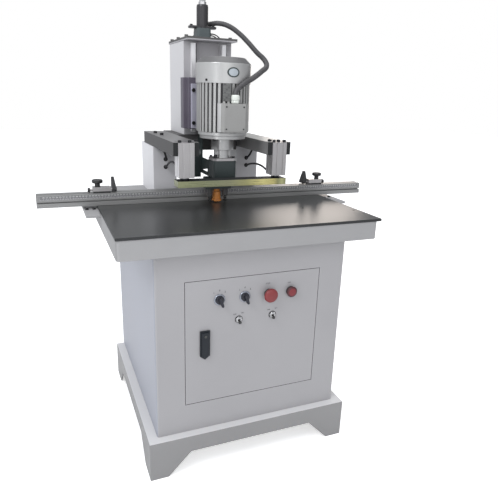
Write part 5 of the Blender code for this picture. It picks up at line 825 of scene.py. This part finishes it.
def makeLock():
    x, top = door["lockX"], door["lockTop"]
    outline = [(-0.01575, 0.0), (0.01575, 0.0), (0.01575, -0.084), (0.0, -0.096), (-0.01575, -0.084)]
    plate = plateShape([(x + u, v) for u, v in outline], 0.0003, 0.0070, 0.0012, "-Y")
    moved(plate, Matrix.Translation((0, 0, top)))
    barrel = rodShape((x, 0.030, top - 0.016), 0.0088, 0.0285, 0.0006, 32, "-Y")
    finishPiece("lockPlate", joined(plate, barrel), lockCoat, "door", ["lock_housing"])
    inner = [(-0.0118, -0.0040), (0.0118, -0.0040), (0.0118, -0.082), (0.0, -0.0915), (-0.0118, -0.082)]
    lever = plateShape([(x + u, v) for u, v in inner], 0.0073, 0.0116, 0.0016, "-Y", 3)
    moved(lever, Matrix.Translation((0, 0, top)))
    keyhole = rodShape((x, -0.0117, top - 0.016), 0.0046, 0.0006, 0.0002, 24, "-Y")
    stem = rodShape((x, 0.0335, top - 0.016), 0.0048, 0.042, 0.0004, 20, "-Y")
    cam = boxShape((x - 0.007, 0.0303, top - 0.088), (x + 0.007, 0.0343, top - 0.009), 0.0008)
    finishPiece("lockLever", joined(painted(joined(lever, stem), 0), painted(joined(keyhole, cam), 1)),
                [lockCoat, leverSteel], "lock", ["lock_lever"])


# Plain numbers and words on the door, each a thin print
def makeDoorMarks():
    marks = []
    for x in door["selectorX"]:
        for number, angle in (("1", -38), ("0", 0), ("2", 38)):
            marks.append(wordShape(number, 0.0085, (x + 0.029 * math.sin(math.radians(angle)), -0.0001,
                                                     door["controlZ"] + 0.029 * math.cos(math.radians(angle)))))
    for x in door["toggleX"]:
        marks.append(wordShape("ON", 0.0056, (x + 0.012, -0.0001, door["toggleZ"] + 0.020)))
        marks.append(wordShape("OFF", 0.0056, (x - 0.013, -0.0001, door["toggleZ"] + 0.018)))
    marks.append(wordShape("STOP", 0.0060, (door["estopX"] - 0.004, -0.0001, door["controlZ"] + 0.0335)))
    marks.append(wordShape("OFF", 0.0060, (door["stopX"] - 0.006, -0.0001, door["controlZ"] + 0.0280)))
    finishPiece("doorMarks", joined(*marks), printInk, "door", level=False)


makeControls()
makeLock()
makeDoorMarks()
print("door and controls made")

# Fence with its scale and the two stops
fence = {"front": 0.3662, "step": 0.3674, "top": 0.8403, "half": 0.602, "stripLow": 0.8252, "stripHigh": 0.8372}


def makeFence():
    finishPiece("fenceRail", easedNode("fence_rail", 0.0005, 2), drawnAluminium, "frame", ["fence_rail"])
    strip = boxShape((-fence["half"] + 0.012, fence["step"] - 0.0005, fence["stripLow"]),
                     (fence["half"] - 0.012, fence["step"] + 0.0004, fence["stripHigh"]), 0.0002)
    finishPiece("fenceScale", strip, scaleStrip, "frame")
    numbers = []
    for index in range(-58, 59):
        if index:
            numbers.append(wordShape(str(abs(index)), 0.0062, (index * 0.010, fence["step"] - 0.0005, 0.8338)))
    finishPiece("fenceNumbers", joined(*numbers), whitePlastic, "frame", level=False)


makeFence()


def knurledKnob(place):
    profile = [(0, 0), (0.0082, 0), (0.0085, 0.0006), (0.0085, 0.0108), (0.0125, 0.0117), (0.0148, 0.0120),
               (0.0164, 0.0130), (0.0172, 0.0145), (0.0172, 0.0208), (0.0160, 0.0226), (0.0140, 0.0235),
               (0.0110, 0.0232), (0.0100, 0.0226), (0, 0.0226)]
    knob = turnedShape(profile, (0, 0, 0), 60)
    for vert in knob.verts:
        radius = math.hypot(vert.co.x, vert.co.y)
        if radius > 0.0155:
            lobe = 1 + 0.018 * math.cos(math.atan2(vert.co.y, vert.co.x) * 20)
            vert.co.x *= lobe
            vert.co.y *= lobe
    return moved(knob, Matrix.Translation(place))


# A wedge that is wider at its foot, on the side away from the clamp block
def fingerShape(side):
    shape = plainNode("flip_finger_" + side)
    inner = min(abs(vert.co.x) for vert in shape.verts)
    foot = min(vert.co.z for vert in shape.verts)
    tip = max(vert.co.z for vert in shape.verts)
    for vert in shape.verts:
        if abs(vert.co.x) < inner + 0.002:
            vert.co.x -= math.copysign(0.0072 - 0.0060 * (vert.co.z - foot) / (tip - foot), vert.co.x)
    return easeEdges(shape, 0.0009, 3)


def makeStops():
    for side, sign in (("left", -1), ("right", 1)):
        finishPiece("stopBlock" + side.title(), easedNode("stop_block_" + side, 0.0006, 2), pillarAluminium,
                    "fence_stop_" + side, ["stop_block_" + side])
        tips = [rodShape((sign * x, 0.3862, 0.8496), 0.0076, 0.0074, 0.0016, 24, "X" if sign > 0 else "-X")
                for x in (0.3507, 0.4361)]
        band = boxShape((sign * 0.400 - 0.0278, 0.3729, 0.8408), (sign * 0.400 + 0.0278, 0.3996, 0.8462), 0.0004)
        finishPiece("stopTrim" + side.title(), joined(*tips, band), blackPlastic, "fence_stop_" + side)
        finishPiece("flipFinger" + side.title(), fingerShape(side), blackPlastic,
                    "finger_" + side, ["flip_finger_" + side])
        finishPiece("stopKnob" + side.title(), knurledKnob((sign * 0.412, 0.3862, 0.8604)), blackPlastic,
                    "knob_" + side, ["stop_knob_" + side])


makeStops()
print("fence and stops made")

# Portal and press
portal = {
    "armTop": 1.0190, "cylinderTop": 1.0178,
    "armBolts": [(-0.1765, 0.573), (-0.1726, 0.484), (-0.119, 0.238), (0.132, 0.228)],
    "cylinderBolts": [(-0.1790, 0.212), (-0.147, 0.212), (0.141, 0.212), (0.161, 0.222), (0.178, 0.212)],
}


def makePortal():
    for side in ("left", "right"):
        # The pedestals' left-facing faces take the lighter copy: painted light
        pedestal = facingPaint(easedNode("pedestal_" + side, 0.0018, 3), (-1, 0, 0))
        finishPiece("pedestal" + side.title(), pedestal, [pedestalPaint, pedestalSidePaintedLight], "frame",
                    ["pedestal_" + side])
        # Arm tops, front ends and left sides take lit and shaded copies of the black oxide: painted light and painted
        # shade
        arm = facingPaint(easedNode("arm_" + side, 0.0014, 3), (0, 0, 1), (0, -1, 0), (-1, 0, 0))
        tones = [armTop, nearBlackPaintedShade, armShade] if side == "left" else [rightArmTopPaintedLight, nearBlackPaintedShade, rightArmSidePaintedLight]
        finishPiece("arm" + side.title(), arm, [blackOxide, *tones], "frame", ["arm_" + side])
        sign = -1 if side == "left" else 1
        rings = []
        for z in (0.904, 0.932):
            rings.append(turnedShape([(0.0033, 0.0), (0.0052, 0.0), (0.0075, 0.0004), (0.0078, 0.0014),
                                      (0.0060, 0.0024), (0.0036, 0.0024)],
                                     (sign * 0.158, 0.4950, z), 28, "-Y", hollow=True))
        finishPiece("tubeRings" + side.title(), joined(*rings), blackPlastic, "frame")
    finishPiece("bridgePlate", easedNode("bridge_plate", 0.0012, 2), blackOxide, "frame", ["bridge_plate"])
    bolts = [screwShape((x, y, portal["armTop"]), 0.0065, 0.0070) for x, y in portal["armBolts"]]
    bolts += [screwShape((x, y, portal["cylinderTop"]), 0.0058, 0.0078) for x, y in portal["cylinderBolts"]]
    finishPiece("portalBolts", joined(*bolts), screwSteel, "frame")


def makePress():
    for side, sign in (("left", -1), ("right", 1)):
        x = sign * 0.159
        # The left cylinder's left-facing faces take the lighter copy: painted light
        body = facingPaint(easedNode("press_cylinder_" + side, 0.0004, 2), (-1, 0, 0))
        finishPiece("pressCylinder" + side.title(), body,
                    [pillarAluminium, cylinderSidePaintedLight if side == "left" else pillarAluminium], "frame",
                    ["press_cylinder_" + side])
        rod = turnedShape([(0, 0.8995), (0.0080, 0.8995), (0.0080, 0.9960), (0.0197, 0.9961), (0.0197, 1.0080),
                           (0, 1.0080)], (x, 0.2280, 0), 36)
        nut = hexShape((x, 0.2280, 0.8996), 0.0150, 0.0050, turn=0.3)
        finishPiece("pressRod" + side.title(), joined(painted(rod, 0), painted(nut, 1)), [groundSteel, screwSteel],
                    "press", ["press_rod_" + side])
    # The bar's top faces take the near-black finish: painted shade
    bar = facingPaint(easedNode("press_bar", 0.0008, 2), (0, 0, 1))
    finishPiece("pressBar", bar, [yellowZincPaintedSheen, nearBlackPaintedShade], "press", ["press_bar"])


makePortal()
makePress()
print("portal and press made")

# Column, rails and feed cylinder
column = {"railX": 0.056, "railBottom": 1.030, "railTop": 1.330, "railFront": 0.4805, "railBack": 0.4947,
          "plateSplit": 1.3405, "grooves": [(-0.0480, -0.0415), (0.0640, 0.0700)]}


def makeColumn():
    # The column's left-facing faces take the lighter copy: painted light
    finishPiece("columnBody", facingPaint(easedNode("column_body", 0.0014, 3), (-1, 0, 0)), [columnPaint, columnSidePaintedLight],
                "frame", ["column_body"])
    for side, sign in (("left", -1), ("right", 1)):
        x = sign * column["railX"]
        outline = [(-0.0075, 0.0), (0.0075, 0.0), (0.0075, 0.0045), (0.0060, 0.0065), (0.0060, 0.0085),
                   (0.0075, 0.0105), (0.0075, 0.0142), (-0.0075, 0.0142), (-0.0075, 0.0105), (-0.0060, 0.0085),
                   (-0.0060, 0.0065), (-0.0075, 0.0045)]
        rail = plateShape([(x + u, column["railFront"] + v) for u, v in outline],
                          column["railBottom"], column["railTop"], 0.0003)
        finishPiece("guideRail" + side.title(), rail, railSteel, "frame", ["guide_rail_" + side])
    # Dark strips beside the guide rails: painted shadow next to each rail
    grooves = [boxShape((low, 0.4938, column["railBottom"]), (high, 0.4950, column["railTop"]), 0.0002)
               for low, high in column["grooves"]]
    finishPiece("railShadowStrips", joined(*grooves), finShade, "frame")
    topPlate = plainNode("column_top_plate")
    everything = topPlate.verts[:] + topPlate.edges[:] + topPlate.faces[:]
    bmesh.ops.bisect_plane(topPlate, geom=everything, plane_co=(0, 0, column["plateSplit"]), plane_no=(0, 0, 1))
    for face in topPlate.faces:
        face.material_index = 1 if face.calc_center_median().z < column["plateSplit"] else 0
    finishPiece("columnTopPlate", topPlate, [blackOxide, columnPaint], "frame", ["column_top_plate"])


feed = {"y": 0.5620, "tubes": [(-0.009, 1.3690, 0.0740, 1.3600), (0.000, 1.3640, 0.0690, 1.3570),
                               (0.009, 1.3540, 0.0660, 1.3530)]}


def makeFeed():
    finishPiece("feedBlock", easedNode("feed_cylinder_block", 0.0012, 3), blockPaint, "frame",
                ["feed_cylinder_block"])
    sleeve = turnedShape([(0.0167, 1.3864), (0.0200, 1.3864), (0.0206, 1.3950), (0.0208, 1.3985), (0.0208, 1.4560),
                          (0.0202, 1.4600), (0.0196, 1.4636), (0.0190, 1.4640), (0.0065, 1.4640), (0.0065, 1.4602),
                          (0.0167, 1.4600)], (0, feed["y"], 0), 48, hollow=True)
    wings = plateShape(roundedOutline(0.050, 0.019, 0.0114, 5, (0, feed["y"])), 1.3866, 1.3936, 0.0009)
    ends = []
    for x in (-0.041, 0.041):
        ends.append(screwShape((x, feed["y"], 1.3936), 0.0052, 0.0055))
    finishPiece("feedSleeve", joined(painted(joined(sleeve, wings), 0), painted(joined(*ends), 1)),
                [sleeveCoat, screwSteel], "frame", ["feed_cylinder_sleeve"])
    tubes = []
    for offset, z, far, arch in feed["tubes"]:
        y = feed["y"] + offset
        tubes.append(tubeShape([(0.0255, y, z), (0.040, y, z + 0.0005), (far - 0.012, y + 0.004, arch),
                                (far, y + 0.008, 1.3476)], 0.0021, 10, 8))
        tubes.append(hexShape((0.0262, y, z), 0.0042, 0.0045, axis="X"))
    finishPiece("feedTubes", joined(*tubes), blackPlastic, "frame")
    rod = turnedShape([(0, 1.1380), (0.0060, 1.1380), (0.0060, 1.1704), (0.0100, 1.1706), (0.0100, 1.3873),
                       (0.0160, 1.3875), (0.0160, 1.3920), (0.0060, 1.3922), (0.0060, 1.5020), (0.0048, 1.5045),
                       (0, 1.5050)], (0, feed["y"], 0), 32)
    nuts = joined(hexShape((0, feed["y"], 1.4643), 0.0140, 0.0098, 0.0008, turn=0.2),
                  hexShape((0, feed["y"], 1.4744), 0.0120, 0.0096, 0.0008, turn=0.6),
                  hexShape((0, feed["y"], 1.1300), 0.0120, 0.0096, 0.0008))
    tip = rodShape((0, feed["y"], 1.4880), 0.0075, 0.0165, 0.0012, 28)
    finishPiece("feedRod", joined(painted(joined(rod, nuts), 0), painted(tip, 1)), [groundSteel, blackPlastic],
                "head", ["feed_rod"])
    collar = turnedShape([(0.0092, 1.3550), (0.0128, 1.3550), (0.0128, 1.3640), (0.0110, 1.3700), (0.0092, 1.3700)],
                         (0.0, 0.6440, 0), 32, hollow=True)
    finishPiece("hoseCollar", collar, blackPlastic, "frame")


makeColumn()
makeFeed()
print("column and feed cylinder made")

# Head: carriage, motor, gearbox and spindles
motor = {"y": 0.3261, "finRadius": 0.0875, "cowlRadius": 0.0905}


def makeCarriage():
    finishPiece("carriage", easedNode("carriage", 0.0014, 3), carriageCoat, "head", ["carriage"])
    finishPiece("motorFeet", easedNode("motor_feet", 0.0014, 3), feetPaint, "head", ["motor_feet"])
    screws = []
    for x in (-0.0790, 0.0790):
        for z in (1.066, 1.174):
            screws.append(screwShape((x, 0.4052, z), 0.0062, 0.0060, "-Y"))
    finishPiece("feetScrews", joined(*screws), screwSteel, "head")


# Fins are a little wider than the CAD's, and the core faces between them take a dark finish: painted shade in the gaps
def housingShape():
    shape = plainNode("motor_housing")
    pitch = math.radians(10)
    core = 0.0875
    for vert in shape.verts:
        radius = math.hypot(vert.co.x, vert.co.y - motor["y"])
        if radius > 0.070:
            core = min(core, radius)
            angle = math.atan2(vert.co.y - motor["y"], vert.co.x)
            share = angle / pitch % 1
            if abs(share - 0.42) < 0.06:
                angle += 0.15 * pitch
                vert.co.x = radius * math.cos(angle)
                vert.co.y = motor["y"] + radius * math.sin(angle)
    # Core faces between the fins: painted shade
    for face in shape.faces:
        spot = face.calc_center_median()
        reach = math.hypot(spot.x, spot.y - motor["y"])
        face.material_index = 1 if reach < core + 0.0006 and abs(face.normal.z) < 0.5 else 0
    return easeEdges(shape, 0.0007, 2)


def makeMotor():
    finishPiece("motorHousing", housingShape(), [motorPaint, finShade], "head", ["motor_housing"])
    radius = motor["cowlRadius"]
    cowl = turnedShape([(radius - 0.0022, 1.1973), (radius - 0.0004, 1.1973), (radius, 1.1978), (radius, 1.2562),
                        (radius - 0.0006, 1.2582), (radius - 0.0020, 1.2598), (0.0722, 1.2756), (0.0702, 1.2767),
                        (0.0680, 1.2770), (0.0520, 1.2770), (0.0515, 1.2752), (0.0515, 1.2740),
                        (0.0690, 1.2740), (radius - 0.0040, 1.2572), (radius - 0.0022, 1.2550)],
                       (0, motor["y"], 0), 72, hollow=True)
    rings = []
    for inner in (0.0130, 0.0230, 0.0330, 0.0430):
        rings.append(turnedShape([(inner, 1.2744), (inner + 0.0042, 1.2744), (inner + 0.0042, 1.2762),
                                  (inner + 0.0034, 1.2768), (inner + 0.0008, 1.2768), (inner, 1.2762)],
                                 (0, motor["y"], 0), 56, hollow=True))
    rings.append(rodShape((0, motor["y"], 1.2744), 0.0080, 0.0024, 0.0006))
    for index in range(6):
        spoke = boxShape((0.006, -0.0028, 1.2744), (0.0525, 0.0028, 1.2764), 0.0004)
        rings.append(moved(spoke, Matrix.Translation((0, motor["y"], 0)) @ Matrix.Rotation(index * math.pi / 3, 4, "Z")))
    # The cowl's upper taper takes the dark finish: painted shade
    for face in cowl.faces:
        face.material_index = 1 if 0.25 < face.normal.z < 0.95 and face.calc_center_median().z > 1.2580 else 0
    finishPiece("fanCowl", joined(cowl, *rings), [cowlPaint, taperPaintedShade], "head", ["fan_cowl"])
    screws = []
    for angle in (35, 145, 215, 325):
        turn = Matrix.Translation((0, motor["y"], 1.2060)) @ Matrix.Rotation(math.radians(angle), 4, "Z")
        screws.append(moved(screwShape((radius - 0.0004, 0, 0), 0.0038, 0.0024, "X"), turn))
    finishPiece("cowlScrews", joined(*screws), screwSteel, "head")
    flange = turnedShape([(0.0125, 0.9572), (0.0280, 0.9572), (0.0285, 0.9580), (0.0285, 0.9836), (0.0372, 0.9842),
                          (0.0380, 0.9852), (0.0380, 1.0205), (0.0400, 1.0220), (0.0755, 1.0220), (0.0770, 1.0232),
                          (0.0770, 1.0330), (0.0810, 1.0336), (0.0822, 1.0346), (0.0822, 1.0440), (0.0815, 1.0446),
                          (0.0125, 1.0447)], (0, motor["y"], 0), 72, hollow=True)
    for face in flange.faces:
        face.material_index = 1 if face.calc_center_median().z < 1.0210 else 0
    finishPiece("motorFlange", flange, [cowlPaint, turnedSteel], "head", ["motor_flange"])
    bolts = []
    for index in range(4):
        angle = math.radians(45 + 90 * index)
        bolts.append(screwShape((0.0600 * math.cos(angle), motor["y"] + 0.0600 * math.sin(angle), 1.0221), 0.0052,
                                0.0052, "-Z"))
    bolts.append(rodShape((-0.033, 0.2990, 0.9572), 0.0062, 0.0120, 0.0010, 24))
    finishPiece("flangeBolts", joined(*bolts), screwSteel, "head")


def makeTerminalBox():
    # The terminal box's left-facing faces take the lighter copy: painted light
    box = facingPaint(easedNode("terminal_box", 0.0016, 3), (-1, 0, 0))
    lid = boxShape((-0.0345, 0.2070, 1.0530), (0.0345, 0.2086, 1.1328), 0.0007)
    screws = []
    for x in (-0.0290, 0.0290):
        for z in (1.0590, 1.1268):
            screws.append(screwShape((x, 0.2071, z), 0.0026, 0.0012, "-Y", 16))
    finishPiece("terminalBox", joined(box, painted(lid, 0), painted(joined(*screws), 2)),
                [boxPaint, boxSidePaintedLight, screwSteel], "head", ["terminal_box"])
    gland = joined(hexShape((0.006, 0.2245, 1.1373), 0.0138, 0.0098, 0.0022, turn=0.4),
                   turnedShape([(0.0092, 1.1470), (0.0124, 1.1470), (0.0134, 1.1490), (0.0137, 1.1530),
                                (0.0134, 1.1580), (0.0122, 1.1618), (0.0104, 1.1634), (0.0092, 1.1634)],
                               (0.006, 0.2245, 0), 32, hollow=True))
    finishPiece("cableGland", gland, whitePlastic, "head", ["cable_gland"])


# A bare plate and a plain oval stand where a maker would put names
def makePlates():
    plate = boxShape((-0.0140, -0.0008, -0.0275), (0.0140, 0.0, 0.0275), 0.0003)
    lines = [boxShape((-0.0140, -0.0011, -0.0275), (-0.0130, -0.0006, 0.0275), 0),
             boxShape((0.0130, -0.0011, -0.0275), (0.0140, -0.0006, 0.0275), 0)]
    for index in range(8):
        z = -0.0275 + 0.0078 * index
        lines.append(boxShape((-0.0132, -0.0010, z), (0.0132, -0.0006, z + 0.0007), 0))
    for index in range(7):
        lines.append(boxShape((-0.0100 + 0.0060 * (index % 3), -0.0010, -0.0245 + 0.0078 * index),
                              (-0.0040 + 0.0060 * (index % 3), -0.0006, -0.0225 + 0.0078 * index), 0))
    rating = wrapRound(moved(joined(painted(plate, 0), painted(joined(*lines), 1)),
                             Matrix.Identity(4)), 0.0878)
    moved(rating, Matrix.Translation((0, motor["y"], 1.1702)) @ Matrix.Rotation(-0.195, 4, "Z"))
    finishPiece("ratingPlate", rating, [platePaint, printInk], "head")
    oval = turnedShape([(0, 0.0), (0.0115, 0.0), (0.0115, 0.0008), (0.0108, 0.0013), (0, 0.0013)], (0, 0, 0), 40, "-Y")
    field = turnedShape([(0, 0.0012), (0.0086, 0.0012), (0.0086, 0.0017), (0.0060, 0.0018), (0, 0.0018)],
                        (0, 0, 0), 40, "-Y")
    badge = moved(joined(painted(oval, 0), painted(field, 1)), Matrix.Diagonal((1.783, 1, 1.304, 1)))
    moved(wrapRound(badge, motor["cowlRadius"] - 0.0002),
          Matrix.Translation((0, motor["y"], 1.2304)) @ Matrix.Rotation(0.022, 4, "Z"))
    finishPiece("plainBadge", badge, [gearboxPaint, badgeField], "head")


def makeGearbox():
    finishPiece("gearboxBody", easedNode("gearbox_body", 0.0010, 3), gearboxPaint, "head", ["gearbox_body"])
    finishPiece("spindleHousing", easedNode("spindle_housing", 0.0010, 3), gearboxPaint, "head",
                ["spindle_housing"])
    finishPiece("gearboxCover", easedNode("gearbox_cover", 0.0008, 2), pillarAluminium, "head",
                ["gearbox_cover"])
    cheek = boxShape((-0.0670, 0.4405, 0.8725), (-0.0400, 0.4770, 0.9500), 0.0012)
    finishPiece("gearboxBracket", joined(easedNode("gearbox_bracket", 0.0010, 2), cheek), gearboxPaint, "head",
                ["gearbox_bracket"])
    bolts = []
    for x in (-0.0320, 0.0320):
        for y in (0.3010, 0.3510):
            bolts.append(screwShape((x, y, 0.9567), 0.0048, 0.0058))
    finishPiece("coverBolts", joined(*bolts), screwSteel, "head")


def makeSpindles():
    centre = easedNode("spindle_centre", 0.0004, 2)
    for face in centre.faces:
        face.material_index = 1 if face.calc_center_median().z < 0.8502 else 0
    finishPiece("spindleCentre", centre, [groundSteel, orangeCoat], "spindle_centre", ["spindle_centre"])
    for side in ("left", "right"):
        finishPiece("spindle" + side.title(), easedNode("spindle_" + side, 0.0004, 2), blackOxide, "spindle_" + side,
                    ["spindle_" + side])
        finishPiece("dowelBit" + side.title(), easedNode("dowel_bit_" + side, 0.0003, 2, 50), leverSteel,
                    "spindle_" + side, ["dowel_bit_" + side])
    x, y = -0.0135, 0.3405
    body = turnedShape([(0, 0.8120), (0.0139, 0.8120), (0.0142, 0.8130), (0.0142, 0.8225), (0.0134, 0.8230),
                        (0.0134, 0.8252), (0.0142, 0.8257), (0.0142, 0.8365), (0.0134, 0.8375), (0, 0.8375)],
                       (x, y, 0), 40)
    head = turnedShape([(0, 0.8040), (0.0168, 0.8040), (0.0172, 0.8046), (0.0172, 0.8105), (0.0165, 0.8112),
                        (0, 0.8121)], (x, y, 0), 48)
    point = turnedShape([(0, 0.8010), (0.0019, 0.8041), (0, 0.8045)], (x, y, 0), 20)
    cutters = []
    for angle in (0, math.pi):
        wing = boxShape((0.0020, -0.0012, 0.8022), (0.0170, 0.0012, 0.8050), 0.0002)
        cutters.append(moved(wing, Matrix.Translation((x, y, 0)) @ Matrix.Rotation(angle, 4, "Z")))
    finishPiece("hingeBit", joined(painted(joined(body, head), 0), painted(joined(point, *cutters), 1)),
                [orangeCoat, groundSteel], "spindle_centre", ["hinge_bit"])


makeCarriage()
makeMotor()
makeTerminalBox()
makePlates()
makeGearbox()
makeSpindles()
print("head made")


# Inside the cabinet: panel with switchgear and valves
def makeEquipment():
    front = 0.6538
    panel = [boxShape((-0.210, front, 0.240), (0.210, front + 0.003, 0.620), 0.0006)]
    for x in (-0.190, 0.190):
        for z in (0.260, 0.600):
            panel.append(rodShape((x, front + 0.0025, z), 0.0078, 0.0224, 0.0005, 20, "Y"))
            panel.append(screwShape((x, front, z), 0.0050, 0.0035, "-Y"))
    for z in (0.500, 0.330):
        panel.append(boxShape((-0.200, front - 0.008, z - 0.0175), (0.200, front, z + 0.0175), 0.0010))
    gear = []
    for index in range(4):
        x = (index - 1.5) * 0.080
        gear.append(boxShape((x - 0.0225, front - 0.075, 0.460), (x + 0.0225, front - 0.006, 0.540), 0.0015))
        gear.append(boxShape((x - 0.0180, front - 0.0765, 0.488), (x + 0.0180, front - 0.073, 0.512), 0.0008))
        for step in (-0.012, 0, 0.012):
            for z in (0.468, 0.532):
                gear.append(screwShape((x + step, front - 0.0738, z), 0.0036, 0.0014, "-Y", 14))
    valves = []
    for index in range(3):
        x = (index - 1) * 0.060
        valves.append(boxShape((x - 0.016, front - 0.060, 0.285), (x + 0.016, front - 0.006, 0.375), 0.0015))
        valves.append(rodShape((x, front - 0.0600, 0.352), 0.0100, 0.0060, 0.0008, 24, "-Y"))
        valves.append(rodShape((x, front - 0.0600, 0.308), 0.0070, 0.0060, 0.0008, 24, "-Y"))
    finishPiece("equipmentPanel", joined(painted(joined(*panel), 0), painted(joined(*gear), 1),
                                         painted(joined(*valves), 2)),
                [groundSteel, blackPlastic, pillarAluminium], "frame", ["equipment_panel"])


makeEquipment()
for name, finish in (("motor_rotor", groundSteel),):
    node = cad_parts[name]
    node.data.materials.clear()
    node.data.materials.append(finish)
print("inside of the cabinet made")

# Studio: pale floor, white behind the machine, and soft light that is brighter from the left
studio = {
    "sky": ((0.27, 0.275, 0.285), (1.00, 1.02, 1.06)),    # far side and near side of the surroundings
    "brightFrom": (-0.58, -0.42, 0.70),
    "floorGlow": 0.55,
    "lamps": [("key", (-2.15, -1.55, 3.0), 1.2, 36.0, (0.97, 0.98, 1.0)),
              ("streak", (-2.0, -1.9, 0.95), 0.6, 3.0, (1.0, 1.0, 1.0)),
              ("front", (-0.3, -3.2, 2.0), 2.4, 10.0, (1.0, 0.99, 0.98)),
              ("top", (0.2, 0.3, 3.6), 2.0, 22.0, (1.0, 1.0, 1.0)),
              ("window", (1.83, 2.60, 1.35), 1.0, 9.0, (1.0, 0.90, 0.82))],
}


def makeStudio():
    floorShape = bmesh.new()
    bmesh.ops.create_grid(floorShape, x_segments=2, y_segments=2, size=14)
    mesh = bpy.data.meshes.new("floor")
    floorShape.to_mesh(mesh)
    floorShape.free()
    floor = bpy.data.objects.new("floor", mesh)
    scene.collection.objects.link(floor)
    paper = bpy.data.materials.new("floorPaper")
    paper.use_nodes = True
    shader = paper.node_tree.nodes["Principled BSDF"]
    shader.inputs["Base Color"].default_value = (0.92, 0.92, 0.92, 1)
    shader.inputs["Roughness"].default_value = 0.8
    glow = studio["floorGlow"]
    shader.inputs["Emission Color"].default_value = (glow, glow, glow, 1)
    sight = paper.node_tree.nodes.new("ShaderNodeLightPath")
    paper.node_tree.links.new(sight.outputs["Is Camera Ray"], shader.inputs["Emission Strength"])
    mesh.materials.append(paper)
    world = bpy.data.worlds.new("studio")
    scene.world = world
    world.use_nodes = True
    nodes = world.node_tree.nodes
    links = world.node_tree.links
    place = nodes.new("ShaderNodeTexCoord")
    facingLight = nodes.new("ShaderNodeVectorMath")
    facingLight.operation = "DOT_PRODUCT"
    facingLight.inputs[1].default_value = studio["brightFrom"]
    links.new(place.outputs["Generated"], facingLight.inputs[0])
    reach = nodes.new("ShaderNodeMapRange")
    reach.interpolation_type = "SMOOTHSTEP"
    reach.inputs["From Min"].default_value = -0.9
    reach.inputs["From Max"].default_value = 0.9
    links.new(facingLight.outputs["Value"], reach.inputs["Value"])
    sky = nodes.new("ShaderNodeMix")
    sky.data_type = "RGBA"
    sky.inputs["A"].default_value = (*studio["sky"][0], 1)
    sky.inputs["B"].default_value = (*studio["sky"][1], 1)
    links.new(reach.outputs["Result"], sky.inputs["Factor"])
    sight = nodes.new("ShaderNodeLightPath")
    seen = nodes.new("ShaderNodeMix")
    seen.data_type = "RGBA"
    seen.inputs["B"].default_value = (1, 1, 1, 1)
    links.new(sight.outputs["Is Camera Ray"], seen.inputs["Factor"])
    links.new(sky.outputs["Result"], seen.inputs["A"])
    links.new(seen.outputs["Result"], nodes["Background"].inputs["Color"])
    for name, place, size, power, colour in studio["lamps"]:
        lamp = bpy.data.lights.new(name, "AREA")
        lamp.shape = "DISK"
        lamp.size = size
        lamp.energy = power
        lamp.color = colour
        holder = bpy.data.objects.new(name, lamp)
        scene.collection.objects.link(holder)
        holder.visible_camera = False
        holder.location = place
        holder.rotation_euler = (Vector((0, 0, 0.8)) - Vector(place)).to_track_quat("-Z", "Y").to_euler()
    scene.view_settings.view_transform = "Standard"


makeStudio()
print("studio made")
